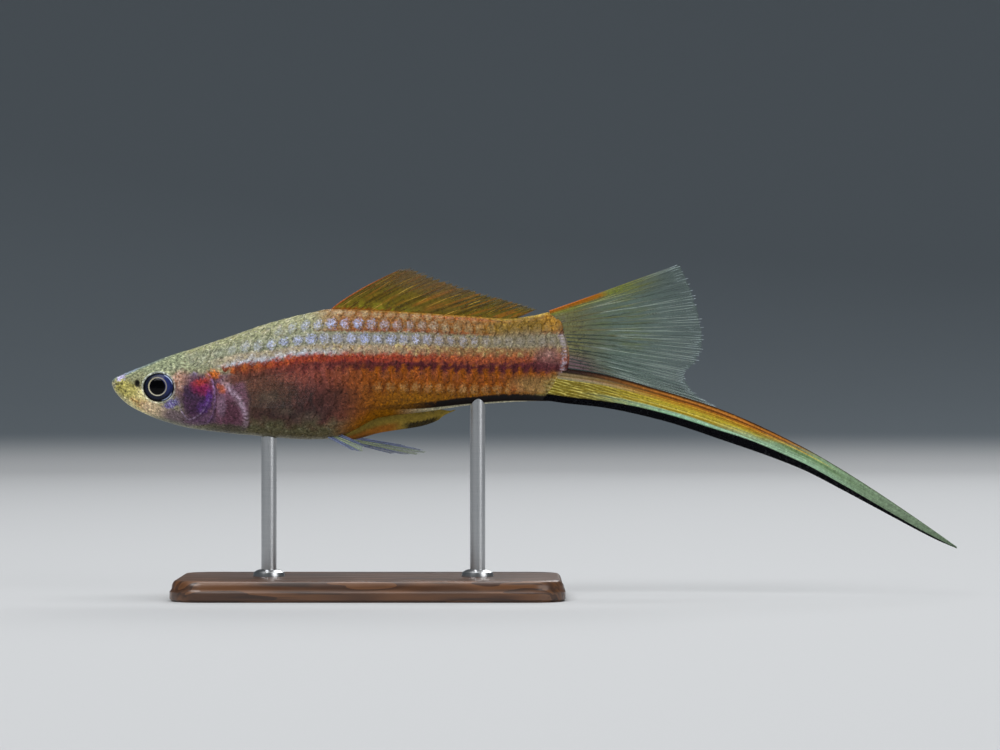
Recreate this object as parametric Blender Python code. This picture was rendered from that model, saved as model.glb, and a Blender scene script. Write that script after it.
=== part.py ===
"""An adult male swordtail, life size, as a still model on a plain display stand.

Blender 4.5, metres, +Z up. +X runs towards the tail and the fish's left side faces -Y.
The origin is on the floor, half way between the snout and the tip of the sword.
Sizes are in millimetres. On the fish, x is counted back from the tip of the snout and z up
from it, and to_world() puts such a point in its place.
"""

import math

import bmesh
import bpy
from mathutils import Vector

MM = 0.001
GAP = 0.3

# Driving sizes of the fish
TOTAL_LENGTH = 121.4
SWORD_DROP = 23.95
SWORD_CLEARANCE = 7.0
SNOUT_HEIGHT = SWORD_DROP + SWORD_CLEARANCE

# Sections of the body: x, top, bottom, half width, level of the widest place, squareness
BODY_SECTIONS = [
    (0.0, 0.10, -0.35, 0.70, -0.12, 2.2),
    (0.35, 0.50, -1.15, 1.25, -0.30, 2.2),
    (1.0, 0.86, -1.94, 1.60, -0.45, 2.2),
    (2.4, 1.50, -3.20, 2.10, -0.70, 2.2),
    (4.6, 2.35, -4.40, 2.75, -0.90, 2.25),
    (7.5, 3.50, -5.62, 3.37, -1.00, 2.25),
    (11.5, 4.85, -6.70, 3.88, -1.00, 2.2),
    (16.5, 6.50, -7.35, 4.25, -0.80, 2.15),
    (22.5, 8.55, -8.00, 4.50, -0.30, 2.1),
    (28.0, 9.95, -8.35, 4.40, 0.30, 2.1),
    (31.8, 10.60, -8.20, 4.05, 0.80, 2.1),
    (34.4, 10.55, -7.20, 3.75, 1.20, 2.1),
    (38.4, 10.35, -5.25, 3.25, 1.90, 2.1),
    (45.0, 9.98, -4.38, 2.60, 2.60, 2.1),
    (52.0, 9.50, -3.38, 2.05, 3.00, 2.1),
    (56.6, 9.20, -3.04, 1.75, 3.10, 2.1),
    (60.5, 9.65, -2.86, 1.38, 3.40, 2.1),
    (63.2, 10.25, -2.85, 1.02, 3.70, 2.1),
    (66.5, 10.60, -3.05, 0.62, 3.80, 2.1),
]
RING_STEPS = 36
HEAD_STEP = 0.55
BODY_STEP = 1.6

# Where the body is parted, as x at the back, at mid height and at the belly
HEAD_CUT = (13.6, 15.2, 11.9)
MID_CUT = (33.0, 30.4, 30.0)
STALK_CUT = (55.4, 56.6, 57.6)
STALK_END_X = 65.5
STALK_END_LEVEL = 3.7
STALK_END_REACH = 6.6
STALK_END_DEPTH = 2.6

# Head
EYE_X = 6.76
EYE_Z = -0.78
EYE_Y = 2.15
EYE_HALF = (2.24, 1.45, 2.06)
EYE_SLACK = 0.3
RIM_RADIUS = 0.30
NOSTRIL_X = 3.75
NOSTRIL_Z = -0.10
NOSTRIL_HALF = (0.30, 0.55, 0.46)
MOUTH_LINE = [(-1.0, 0.10), (0.05, 0.02), (0.75, -0.40), (1.35, -0.92)]
JAW_LINE = [(2.10, -1.75), (3.20, -2.75), (4.30, -3.55), (5.10, -5.60)]
LIP_RADIUS = 0.25
LIP_LENGTH = 1.35
LIP_WIDTH = 1.60
LIP_STEPS = 15
GILL_OUTLINE = [
    (12.0, 1.9),
    (14.0, 1.1),
    (15.8, -0.6),
    (15.8, -4.9),
    (12.6, -5.6),
    (10.4, -5.0),
    (10.1, -3.0),
    (10.6, -0.2),
]
GILL_THICKNESS = 0.65

# Fins
RAY_RIDGE = 0.14
FIN_THICKNESS = 0.52
TIP_THICKNESS = 0.32
FAN_RAYS = 18
FAN_ROOT_TOP = 10.15
FAN_ROOT_LOW = 2.25
FAN_MARGIN = [
    (81.6, 16.95),
    (83.3, 13.5),
    (84.5, 9.6),
    (85.0, 6.0),
    (84.2, 3.2),
    (82.4, 1.0),
    (83.9, -1.5),
    (86.9, -3.3),
]
SWORD_SECTIONS = [
    (62.5, 2.35, -2.70),
    (65.5, 1.90, -3.12),
    (70.1, 1.15, -3.62),
    (78.7, -1.15, -5.45),
    (87.4, -4.05, -8.10),
    (98.9, -8.85, -12.45),
    (110.4, -15.80, -18.35),
    (118.6, -21.70, -22.75),
    (121.4, -23.70, -23.95),
]
SWORD_RAYS = 6
SWORD_ROOT_THICKNESS = 1.1
DORSAL_ROOT = (31.4, 57.2)
DORSAL_MARGIN = [
    (33.0, 11.9),
    (37.6, 14.5),
    (41.3, 16.15),
    (44.0, 16.15),
    (48.1, 14.45),
    (52.4, 13.0),
    (56.2, 11.95),
    (59.0, 11.2),
    (60.9, 10.45),
]
DORSAL_RAYS = 14
PECTORAL_ROOT = [(16.7, -0.35), (17.2, -3.2)]
PECTORAL_MARGIN = [(26.4, 1.55), (29.0, 0.75), (29.9, -0.6), (29.3, -2.2), (27.0, -3.4), (23.6, -3.75)]
PECTORAL_LIFT = 1.7
PECTORAL_RAYS = 10
PELVIC_ROOT = [(31.1, 0.95), (32.9, 0.75)]
LEFT_PELVIC_MARGIN = [(34.6, -3.0, -9.75), (36.0, -3.3, -9.95), (36.2, -2.8, -9.20), (35.7, -2.2, -8.75)]
RIGHT_PELVIC_MARGIN = [(40.0, 2.6, -10.35), (43.4, 2.5, -10.5), (45.1, 2.1, -10.05), (41.5, 1.7, -9.05)]
PELVIC_RAYS = 5
GONOPODIUM_KEEL = [
    (33.3, -8.40),
    (35.6, -7.98),
    (38.5, -7.30),
    (41.3, -6.85),
    (44.2, -6.40),
    (46.7, -5.75),
    (48.0, -4.85),
]
GONOPODIUM_THICKNESS = 0.8
GONOPODIUM_RAYS = 5

# Stand
BASE_CENTRE_X = 37.0
BASE_LENGTH = 56.0
BASE_WIDTH = 30.0
BASE_HEIGHT = 3.0
BASE_CORNER = 5.0
BASE_EDGE = 0.5
ROD_RADIUS = 1.1
ROD_FRONT_X = 22.5
ROD_REAR_X = 52.5

COLOURS = {
    "head": ((0.42, 0.36, 0.22), 0.35),
    "lower_jaw": ((0.50, 0.48, 0.34), 0.35),
    "gill_cover": ((0.36, 0.16, 0.30), 0.30),
    "trunk": ((0.34, 0.20, 0.15), 0.35),
    "body_rear": ((0.42, 0.20, 0.08), 0.35),
    "tail_stalk": ((0.40, 0.22, 0.16), 0.35),
    "eye": ((0.02, 0.025, 0.04), 0.08),
    "fin": ((0.50, 0.36, 0.10), 0.30),
    "clear_fin": ((0.38, 0.42, 0.42), 0.25),
    "sword": ((0.52, 0.42, 0.12), 0.30),
    "base": ((0.10, 0.055, 0.03), 0.45),
}


def to_world(x, y, z):
    """A point of the fish, in millimetres from its snout, in metres from the origin."""
    return Vector(((x - TOTAL_LENGTH / 2) * MM, y * MM, (z + SNOUT_HEIGHT) * MM))


def smooth(rows, x, column):
    """The value of one column of a table at x, on a smooth curve that doesn't overshoot."""
    if x <= rows[0][0]:
        return rows[0][column]
    if x >= rows[-1][0]:
        return rows[-1][column]
    steps = [b[0] - a[0] for a, b in zip(rows, rows[1:])]
    slopes = [(b[column] - a[column]) / s for a, b, s in zip(rows, rows[1:], steps)]

    def tangent(i):
        if i == 0:
            return slopes[0]
        if i == len(rows) - 1:
            return slopes[-1]
        before, after = slopes[i - 1], slopes[i]
        if before * after <= 0.0:
            return 0.0
        return 2.0 * before * after / (before + after)

    i = max(k for k in range(len(rows) - 1) if rows[k][0] <= x)
    t = (x - rows[i][0]) / steps[i]
    low, high = rows[i][column], rows[i + 1][column]
    bend_low, bend_high = tangent(i) * steps[i], tangent(i + 1) * steps[i]
    return (
        (2 * t**3 - 3 * t**2 + 1) * low
        + (t**3 - 2 * t**2 + t) * bend_low
        + (3 * t**2 - 2 * t**3) * high
        + (t**3 - t**2) * bend_high
    )


def on_margin(points, u):
    """The point at the share u along a smooth line through evenly counted points."""
    spaced = [(i / (len(points) - 1),) + tuple(p) for i, p in enumerate(points)]
    return [smooth(spaced, u, column) for column in range(1, len(spaced[0]))]


def body_top(x):
    return smooth(BODY_SECTIONS, x, 1)


def body_bottom(x):
    return smooth(BODY_SECTIONS, x, 2)


def section(x, inset=0.0):
    """Half width, level, rise above the level, fall below it, and squareness at x."""
    top, bottom, half, level, square = [smooth(BODY_SECTIONS, x, c) for c in range(1, 6)]
    return half - inset, level, top - level - inset, level - bottom - inset, square


def flank(x, z):
    """How far the skin stands from the middle plane at a place on the side of the body."""
    half, level, rise, fall, square = section(x)
    share = abs(z - level) / (rise if z > level else fall)
    return half * max(0.0, 1.0 - share**square) ** (1.0 / square)


def belly_at(x, y):
    """The height of the underside at a place off the middle plane."""
    half, level, rise, fall, square = section(x)
    return level - fall * max(0.0, 1.0 - (abs(y) / half) ** square) ** (1.0 / square)


def stalk_end(z):
    """Where the flesh of the tail ends, as a shallow curve that bulges between the rays."""
    return STALK_END_X - STALK_END_DEPTH * ((z - STALK_END_LEVEL) / STALK_END_REACH) ** 2


def material(name):
    """The plain material of one kind of piece."""
    found = bpy.data.materials.get(name)
    if found:
        return found
    colour, roughness = COLOURS.get(name, ((0.62, 0.62, 0.60), 0.3))
    made = bpy.data.materials.new(name)
    made.use_nodes = True
    shader = made.node_tree.nodes["Principled BSDF"]
    shader.inputs["Base Color"].default_value = (*colour, 1.0)
    shader.inputs["Roughness"].default_value = roughness
    shader.inputs["Metallic"].default_value = 1.0 if name == "rod" else 0.0
    return made


def make_object(name, points, faces, finish):
    """A mesh object from points in the fish's millimetres."""
    mesh = bpy.data.meshes.new(name)
    mesh.from_pydata([to_world(*p) for p in points], [], faces)
    built = bmesh.new()
    built.from_mesh(mesh)
    bmesh.ops.recalc_face_normals(built, faces=built.faces)
    built.to_mesh(mesh)
    built.free()
    made = bpy.data.objects.new(name, mesh)
    bpy.context.scene.collection.objects.link(made)
    mesh.materials.append(material(finish))
    return made


def combine(target, tool, operation):
    """Cuts, joins or crosses the target with the tool, which is then removed."""
    step = target.modifiers.new("step", "BOOLEAN")
    step.operation = operation
    step.solver = "EXACT"
    step.object = tool
    bpy.context.view_layer.update()
    shown = target.evaluated_get(bpy.context.evaluated_depsgraph_get())
    mesh = bpy.data.meshes.new_from_object(shown)
    target.modifiers.clear()
    target.data = mesh
    bpy.data.objects.remove(tool)
    return target


def keep_largest(target):
    """Leaves only the largest closed surface of an object."""
    built = bmesh.new()
    built.from_mesh(target.data)
    bmesh.ops.remove_doubles(built, verts=built.verts, dist=0.002 * MM)
    bmesh.ops.triangulate(built, faces=built.faces)
    left = set(built.faces)
    groups = []
    while left:
        queue = [left.pop()]
        group = []
        while queue:
            face = queue.pop()
            group.append(face)
            for edge in face.edges:
                for other in edge.link_faces:
                    if other in left:
                        left.remove(other)
                        queue.append(other)
        groups.append(group)
    groups.sort(key=lambda g: sum(f.calc_area() for f in g))
    loose = [face for group in groups[:-1] for face in group]
    bmesh.ops.delete(built, geom=loose, context="FACES")
    built.to_mesh(target.data)
    built.free()


def grid_faces(columns, rows):
    """Faces of a closed thin form whose front and back grids are split alike."""
    def front(i, j):
        return i * rows + j

    def back(i, j):
        return columns * rows + i * rows + j

    faces = []
    for i in range(columns - 1):
        for j in range(rows - 1):
            a, b, c, d = (i, j), (i + 1, j), (i + 1, j + 1), (i, j + 1)
            faces.append((front(*a), front(*b), front(*c)))
            faces.append((front(*a), front(*c), front(*d)))
            faces.append((back(*c), back(*b), back(*a)))
            faces.append((back(*d), back(*c), back(*a)))
    edge = [(i, 0) for i in range(columns)]
    edge += [(columns - 1, j) for j in range(1, rows)]
    edge += [(i, rows - 1) for i in range(columns - 2, -1, -1)]
    edge += [(0, j) for j in range(rows - 2, 0, -1)]
    for here, there in zip(edge, edge[1:] + edge[:1]):
        faces.append((front(*here), back(*here), back(*there)))
        faces.append((front(*here), back(*there), front(*there)))
    return faces


def make_fin(name, finish, rays, rows, place, thickness, ragged=0.0):
    """A fin as one closed membrane. place(u, v) is its middle, u across the rays and v from
    root to tip, and thickness(u, v) is how thick the web is there. Rays are raised ridges."""
    columns = 2 * rays - 1
    middle = []
    for i in range(columns):
        reach = 1.0 if i % 2 == 0 else 1.0 - ragged
        u = i / (columns - 1)
        middle.append([Vector(place(u, reach * j / (rows - 1))) for j in range(rows)])
    facing = (middle[0][rows // 2] - middle[0][0]).cross(middle[-1][rows // 2] - middle[0][0])
    fronts, backs = [], []
    for i in range(columns):
        for j in range(rows):
            along = middle[i][min(j + 1, rows - 1)] - middle[i][max(j - 1, 0)]
            across = middle[min(i + 1, columns - 1)][j] - middle[max(i - 1, 0)][j]
            normal = along.cross(across).normalized()
            if normal.dot(facing) < 0.0:
                normal.negate()
            half = thickness(i / (columns - 1), j / (rows - 1)) / 2
            if i % 2 == 0:
                half += RAY_RIDGE * (1.0 - 0.5 * j / (rows - 1))
            fronts.append(middle[i][j] + normal * half)
            backs.append(middle[i][j] - normal * half)
    return make_object(name, fronts + backs, grid_faces(columns, rows), finish)


def web_thickness(root):
    """Thickness of a web that thins from its root to its margin."""
    def thickness(u, v):
        if v < 0.5:
            return root + (FIN_THICKNESS - root) * 2 * v
        return FIN_THICKNESS + (TIP_THICKNESS - FIN_THICKNESS) * (2 * v - 1) ** 3
    return thickness


def make_flesh(name, start, end, inset=0.0):
    """The closed form of head and body between two places, drawn in by the inset."""
    places = []
    x = start
    while x < end - 0.2:
        places.append(x)
        x += HEAD_STEP * (0.45 if x < 1.2 else 1.0) if x < 13.0 else BODY_STEP
    places.append(end)
    points, faces = [], []
    for x in places:
        half, level, rise, fall, square = section(x, inset)
        for k in range(RING_STEPS):
            angle = 2 * math.pi * k / RING_STEPS
            c, s = math.cos(angle), math.sin(angle)
            y = half * math.copysign(abs(c) ** (2 / square), c)
            z = level + (rise if s > 0 else fall) * math.copysign(abs(s) ** (2 / square), s)
            points.append((x, y, z))
    for r in range(len(places) - 1):
        for k in range(RING_STEPS):
            a = r * RING_STEPS + k
            b = r * RING_STEPS + (k + 1) % RING_STEPS
            faces.append((a, b, b + RING_STEPS, a + RING_STEPS))
    faces.append(tuple(range(RING_STEPS)))
    last = (len(places) - 1) * RING_STEPS
    faces.append(tuple(last + k for k in range(RING_STEPS)))
    return make_object(name, points, faces, "trunk")


def make_prism(name, outline, y_low=-9.0, y_high=9.0):
    """A cutter: a closed outline in x and z, extruded across the fish."""
    count = len(outline)
    points = [(x, y_low, z) for x, z in outline] + [(x, y_high, z) for x, z in outline]
    faces = [tuple(range(count)), tuple(range(count, 2 * count))]
    for k in range(count):
        n = (k + 1) % count
        faces.append((k, n, n + count, k + count))
    return make_object(name, points, faces, "trunk")


def make_ball(name, centre, half, finish="trunk", rings=12, steps=20):
    """An ellipsoid with its poles across the fish."""
    points = [(centre[0], centre[1] - half[1], centre[2])]
    for r in range(1, rings):
        turn = math.pi * r / rings
        for k in range(steps):
            angle = 2 * math.pi * k / steps
            points.append((
                centre[0] + half[0] * math.sin(turn) * math.cos(angle),
                centre[1] - half[1] * math.cos(turn),
                centre[2] + half[2] * math.sin(turn) * math.sin(angle),
            ))
    points.append((centre[0], centre[1] + half[1], centre[2]))
    faces = []
    last = len(points) - 1
    for k in range(steps):
        n = (k + 1) % steps
        faces.append((0, 1 + k, 1 + n))
        faces.append((last, last - steps + n, last - steps + k))
        for r in range(rings - 2):
            a = 1 + r * steps
            faces.append((a + k, a + n, a + steps + n, a + steps + k))
    return make_object(name, points, faces, finish)


def make_roll(name, path, radii, closed=False, sides=8):
    """A soft round roll along a path, such as a lip or the rim of the orbit."""
    path = [Vector(p) for p in path]
    count = len(path)
    points, faces = [], []
    for i, place in enumerate(path):
        ahead = path[(i + 1) % count] if closed or i < count - 1 else place
        behind = path[i - 1] if closed or i > 0 else place
        along = (ahead - behind).normalized()
        side = along.cross(Vector((0.31, 0.22, 0.92))).normalized()
        up = side.cross(along)
        for k in range(sides):
            angle = 2 * math.pi * k / sides
            points.append(place + (side * math.cos(angle) + up * math.sin(angle)) * radii[i])
    for i in range(count if closed else count - 1):
        n = (i + 1) % count
        for k in range(sides):
            m = (k + 1) % sides
            faces.append((i * sides + k, i * sides + m, n * sides + m, n * sides + k))
    if not closed:
        faces.append(tuple(range(sides)))
        faces.append(tuple(range((count - 1) * sides, count * sides)))
    return make_object(name, points, faces, "trunk")


def cut_line(cut, shift):
    """A curved cut through the body as points from belly to back, moved along by the shift."""
    top_x, middle_x, low_x = cut
    line = []
    for step in range(13):
        t = step / 12
        z = -10.5 + 23.0 * t
        bulge = 1.0 - (2 * t - 1) ** 2
        x = low_x + (top_x - low_x) * t + (middle_x - (low_x + top_x) / 2) * bulge
        line.append((x + shift, z))
    return line


def end_line(shift):
    """The curved end of the tail's flesh as points from below to above."""
    return [(stalk_end(z) + shift, z) for z in [-4.2 + 15.9 * t / 12 for t in range(13)]]


def widen(line, distance):
    """A line in x and z, moved sideways to its right by a distance."""
    moved = []
    for i, (x, z) in enumerate(line):
        ahead, behind = line[min(i + 1, len(line) - 1)], line[max(i - 1, 0)]
        dx, dz = ahead[0] - behind[0], ahead[1] - behind[1]
        size = math.hypot(dx, dz)
        moved.append((x + dz / size * distance, z - dx / size * distance))
    return moved


def rounded(points, count):
    """A closed smooth outline through a few points, by a Catmull-Rom curve."""
    outline = []
    n = len(points)
    for k in range(count):
        place = k * n / count
        i = int(place)
        t = place - i
        p0, p1, p2, p3 = [Vector(points[(i + d) % n]) for d in (-1, 0, 1, 2)]
        outline.append(tuple(0.5 * (
            2 * p1 + (p2 - p0) * t + (2 * p0 - 5 * p1 + 4 * p2 - p3) * t**2
            + (3 * p1 - p0 - 3 * p2 + p3) * t**3
        )))
    return outline


def make_lip(lift):
    """A lip that runs round the front of the mouth from corner to corner, and thins there."""
    places, radii = [], []
    for k in range(LIP_STEPS):
        swing = math.pi * (k / (LIP_STEPS - 1) - 0.5)
        x = 0.08 + LIP_LENGTH * (1.0 - math.cos(swing))
        z = smooth(MOUTH_LINE, x, 1) + lift
        places.append((x, LIP_WIDTH * math.sin(swing), z))
        radii.append(LIP_RADIUS * (0.45 + 0.55 * math.cos(swing)))
    return make_roll("lip", places, radii)


def make_body_pieces():
    """Trunk, rear body and tail stalk, parted from one form by thin curved cuts."""
    bounds = [
        ("trunk", cut_line(HEAD_CUT, GAP / 2), cut_line(MID_CUT, -GAP / 2), 10.0, 36.0),
        ("body_rear", cut_line(MID_CUT, GAP / 2), cut_line(STALK_CUT, -GAP / 2), 28.0, 59.5),
        ("tail_stalk", cut_line(STALK_CUT, GAP / 2), end_line(0.0), 54.0, 66.4),
    ]
    for name, before, after, start, end in bounds:
        piece = make_flesh(name, start, end)
        piece.data.materials.clear()
        piece.data.materials.append(material(name))
        combine(piece, make_prism("between", before + after[::-1]), "INTERSECT")
        keep_largest(piece)


def gill_outline(grow):
    """The outline of a gill cover, open behind, grown by a distance."""
    outline = rounded(GILL_OUTLINE, 28)
    return widen(outline + outline[:1], -grow)[:-1] if grow else outline


def make_head():
    """Head, lower jaw, gill covers and eyes."""
    behind = cut_line(HEAD_CUT, -GAP / 2)
    whole = [(-2.0, -10.5)] + behind + [(-2.0, 12.5)]
    mouth = MOUTH_LINE + JAW_LINE

    head = make_flesh("head", 0.0, 18.0)
    head.data.materials.clear()
    head.data.materials.append(material("head"))
    combine(head, make_lip(GAP / 2 + LIP_RADIUS / 2), "UNION")
    for side in (-1, 1):
        ring = []
        for k in range(24):
            angle = 2 * math.pi * k / 24
            x = EYE_X + (EYE_HALF[0] + 0.22) * math.cos(angle)
            z = EYE_Z + (EYE_HALF[2] + 0.22) * math.sin(angle)
            ring.append((x, side * (flank(x, z) - 0.10), z))
        combine(head, make_roll("rim", ring, [RIM_RADIUS] * 24, closed=True), "UNION")
    combine(head, make_prism("whole", whole), "INTERSECT")
    upper_edge = widen(mouth, -GAP / 2)
    combine(head, make_prism("mouth", [(-2.0, -7.0)] + upper_edge), "DIFFERENCE")
    for side in (-1, 1):
        socket = (EYE_HALF[0] + EYE_SLACK, EYE_HALF[1] + EYE_SLACK, EYE_HALF[2] + EYE_SLACK)
        combine(head, make_ball("socket", (EYE_X, side * EYE_Y, EYE_Z), socket), "DIFFERENCE")
        pit = (NOSTRIL_X, side * (flank(NOSTRIL_X, NOSTRIL_Z) + 0.05), NOSTRIL_Z)
        combine(head, make_ball("pit", pit, NOSTRIL_HALF, rings=6, steps=10), "DIFFERENCE")
        y_range = (-9.0, -0.35) if side < 0 else (0.35, 9.0)
        recess = make_prism("recess", gill_outline(GAP), *y_range)
        combine(recess, make_flesh("inner", 5.0, 19.0, GILL_THICKNESS + GAP), "DIFFERENCE")
        combine(head, recess, "DIFFERENCE")
    keep_largest(head)

    jaw = make_flesh("lower_jaw", 0.0, 8.0)
    jaw.data.materials.clear()
    jaw.data.materials.append(material("lower_jaw"))
    combine(jaw, make_lip(-GAP / 2 - LIP_RADIUS / 2), "UNION")
    lower_edge = widen(mouth, GAP / 2)
    combine(jaw, make_prism("wedge", [(-2.0, -7.0)] + lower_edge), "INTERSECT")
    keep_largest(jaw)

    for side, word in ((-1, "left"), (1, "right")):
        y_range = (-9.0, -0.5) if side < 0 else (0.5, 9.0)
        cover = make_flesh("gill_cover_" + word, 5.0, 18.0)
        cover.data.materials.clear()
        cover.data.materials.append(material("gill_cover"))
        combine(cover, make_prism("outline", gill_outline(0.0), *y_range), "INTERSECT")
        combine(cover, make_prism("whole", whole), "INTERSECT")
        combine(cover, make_flesh("inner", 4.0, 20.0, GILL_THICKNESS), "DIFFERENCE")
        keep_largest(cover)
        make_ball("eye_" + word, (EYE_X, side * EYE_Y, EYE_Z), EYE_HALF, "eye", rings=12, steps=24)


def make_tail():
    """The fan of the tail fin and the long sword below it."""
    def sword_edges(x):
        return smooth(SWORD_SECTIONS, x, 1), smooth(SWORD_SECTIONS, x, 2)

    def fan_place(u, v):
        root_z = FAN_ROOT_TOP + (FAN_ROOT_LOW - FAN_ROOT_TOP) * u
        root_x = stalk_end(root_z) + GAP
        tip_x, tip_z = on_margin(FAN_MARGIN, u)
        x = root_x + (tip_x - root_x) * v
        z = root_z + (tip_z - root_z) * v
        low_x = root_x + (FAN_MARGIN[-1][0] - root_x) * v
        low_z = FAN_ROOT_LOW + (FAN_MARGIN[-1][1] - FAN_ROOT_LOW) * v
        z += (sword_edges(low_x)[0] + GAP - low_z) * u**3
        return x, 0.35 * math.sin(math.pi * v) * (1 - u), z

    def sword_place(u, v):
        reach = v**0.9
        guess = (1.9 - 5.0 * u)
        root_x = stalk_end(guess) + GAP
        x = root_x + (TOTAL_LENGTH - root_x) * reach
        top, bottom = sword_edges(x)
        return x, 0.0, top + (bottom - top) * u

    def sword_thickness(u, v):
        return SWORD_ROOT_THICKNESS + (0.5 - SWORD_ROOT_THICKNESS) * min(1.0, v * 1.6)

    make_fin("tail_fin", "clear_fin", FAN_RAYS, 9, fan_place, web_thickness(1.1), 0.02)
    make_fin("sword", "sword", SWORD_RAYS, 26, sword_place, sword_thickness)


def make_dorsal_fin():
    """The long fin on the back."""
    def place(u, v):
        root_x = DORSAL_ROOT[0] + (DORSAL_ROOT[1] - DORSAL_ROOT[0]) * u
        root_z = body_top(root_x) + GAP
        tip_x, tip_z = on_margin(DORSAL_MARGIN, u)
        sweep = 0.5 * math.sin(math.pi * v) * (1 - u)
        return root_x + (tip_x - root_x) * v, 0.0, root_z + (tip_z - root_z) * v + sweep

    make_fin("dorsal_fin", "fin", DORSAL_RAYS, 6, place, web_thickness(0.9), 0.06)


def make_pectoral_fins():
    """The clear fins behind the gill covers, folded back along the flanks."""
    for side, word in ((-1, "left"), (1, "right")):
        def place(u, v):
            root_x, root_z = on_margin(PECTORAL_ROOT, u)
            tip_x, tip_z = on_margin(PECTORAL_MARGIN, u)
            x = root_x + (tip_x - root_x) * v
            z = root_z + (tip_z - root_z) * v
            stand_off = GAP + FIN_THICKNESS / 2 + RAY_RIDGE + PECTORAL_LIFT * v**1.3
            return x, side * (flank(x, z) + stand_off), z

        make_fin("pectoral_fin_" + word, "clear_fin", PECTORAL_RAYS, 6, place, web_thickness(FIN_THICKNESS), 0.04)


def make_pelvic_fins():
    """The left fin is splayed, and the right one is longer and folded back."""
    for side, word, margin in ((-1, "left", LEFT_PELVIC_MARGIN), (1, "right", RIGHT_PELVIC_MARGIN)):
        def place(u, v):
            root_x, root_y = on_margin(PELVIC_ROOT, u)
            root_z = belly_at(root_x, root_y + 0.3) - GAP - 0.05
            tip_x, tip_y, tip_z = on_margin(margin, u)
            root = Vector((root_x, side * root_y, root_z))
            return root.lerp(Vector((tip_x, tip_y, tip_z)), v)

        make_fin("pelvic_fin_" + word, "clear_fin", PELVIC_RAYS, 6, place, web_thickness(FIN_THICKNESS), 0.06)


def make_gonopodium():
    """The male's anal fin, a narrow blade of long rays folded back under the body."""
    start, end = GONOPODIUM_KEEL[0][0], GONOPODIUM_KEEL[-1][0]

    def place(u, v):
        x = start + (end - start) * v
        keel = smooth(GONOPODIUM_KEEL, x, 1)
        upper = max(belly_at(x, 0.0) - GAP, keel + 0.3)
        return x, 0.0, keel + (upper - keel) * u

    def thickness(u, v):
        return GONOPODIUM_THICKNESS + (FIN_THICKNESS - GONOPODIUM_THICKNESS) * v

    make_fin("gonopodium", "fin", GONOPODIUM_RAYS, 10, place, thickness)


def make_stand():
    """A flat base with soft edges, and two rods whose tops are hollowed to fit the belly."""
    outline = []
    half = (BASE_LENGTH / 2 - BASE_CORNER, BASE_WIDTH / 2 - BASE_CORNER)
    for quarter, (sx, sy) in enumerate(((1, 1), (-1, 1), (-1, -1), (1, -1))):
        for k in range(7):
            angle = math.pi / 2 * (quarter + k / 6)
            outline.append((sx * half[0], sy * half[1], math.cos(angle), math.sin(angle)))
    levels = ((0.0, 0.0), (BASE_HEIGHT - BASE_EDGE, 0.0), (BASE_HEIGHT, BASE_EDGE))
    points, faces = [], []
    for height, draw_in in levels:
        radius = BASE_CORNER - draw_in
        for cx, cy, c, s in outline:
            points.append((BASE_CENTRE_X + cx + radius * c, cy + radius * s, height - SNOUT_HEIGHT))
    count = len(outline)
    for level in range(len(levels) - 1):
        for k in range(count):
            n = (k + 1) % count
            a = level * count
            faces.append((a + k, a + n, a + n + count, a + k + count))
    faces.append(tuple(range(count)))
    faces.append(tuple(range(2 * count, 3 * count)))
    make_object("stand_base", points, faces, "base")

    for word, x in (("front", ROD_FRONT_X), ("rear", ROD_REAR_X)):
        low = BASE_HEIGHT + GAP - SNOUT_HEIGHT
        high = belly_at(x, ROD_RADIUS) + 1.0
        points, faces = [], []
        for z in (low, high):
            for k in range(20):
                angle = 2 * math.pi * k / 20
                points.append((x + ROD_RADIUS * math.cos(angle), ROD_RADIUS * math.sin(angle), z))
        for k in range(20):
            n = (k + 1) % 20
            faces.append((k, n, n + 20, k + 20))
        faces.append(tuple(range(20)))
        faces.append(tuple(range(20, 40)))
        rod = make_object("stand_rod_" + word, points, faces, "rod")
        combine(rod, make_flesh("grown", x - 6.0, x + 6.0, -GAP), "DIFFERENCE")
        keep_largest(rod)


def main():
    for old in list(bpy.data.objects):
        bpy.data.objects.remove(old)
    make_head()
    make_body_pieces()
    make_tail()
    make_dorsal_fin()
    make_pectoral_fins()
    make_pelvic_fins()
    make_gonopodium()
    make_stand()


main()
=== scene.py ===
"""The looks of a life-size model of an adult male swordtail on its display stand.

Metres and +Z up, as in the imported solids. The fish's own sizes are in millimetres: x counts
back from the tip of the snout, y is positive on the fish's right side, z counts up from the
snout, and in_place() puts such points where the solids are. Colours are display values from
0 to 255 and become linear light in tint().
"""

import bpy
import numpy as np
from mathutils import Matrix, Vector, noise


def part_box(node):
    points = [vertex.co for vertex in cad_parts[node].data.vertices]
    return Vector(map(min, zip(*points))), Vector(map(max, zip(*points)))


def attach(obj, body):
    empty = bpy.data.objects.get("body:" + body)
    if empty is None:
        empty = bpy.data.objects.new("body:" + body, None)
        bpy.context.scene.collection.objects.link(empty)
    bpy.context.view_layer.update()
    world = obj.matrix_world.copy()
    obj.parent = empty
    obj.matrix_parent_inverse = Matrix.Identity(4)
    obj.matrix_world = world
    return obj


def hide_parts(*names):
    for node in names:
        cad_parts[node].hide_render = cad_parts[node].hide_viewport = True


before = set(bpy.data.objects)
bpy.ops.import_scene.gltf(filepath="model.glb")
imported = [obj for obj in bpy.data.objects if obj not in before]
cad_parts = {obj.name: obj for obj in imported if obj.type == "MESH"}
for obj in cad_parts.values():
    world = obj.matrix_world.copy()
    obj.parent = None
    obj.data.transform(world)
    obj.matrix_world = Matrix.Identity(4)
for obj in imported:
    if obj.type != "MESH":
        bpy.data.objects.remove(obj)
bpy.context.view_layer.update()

MM = 0.001
SIDES = ((-1, "left"), (1, "right"))

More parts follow.
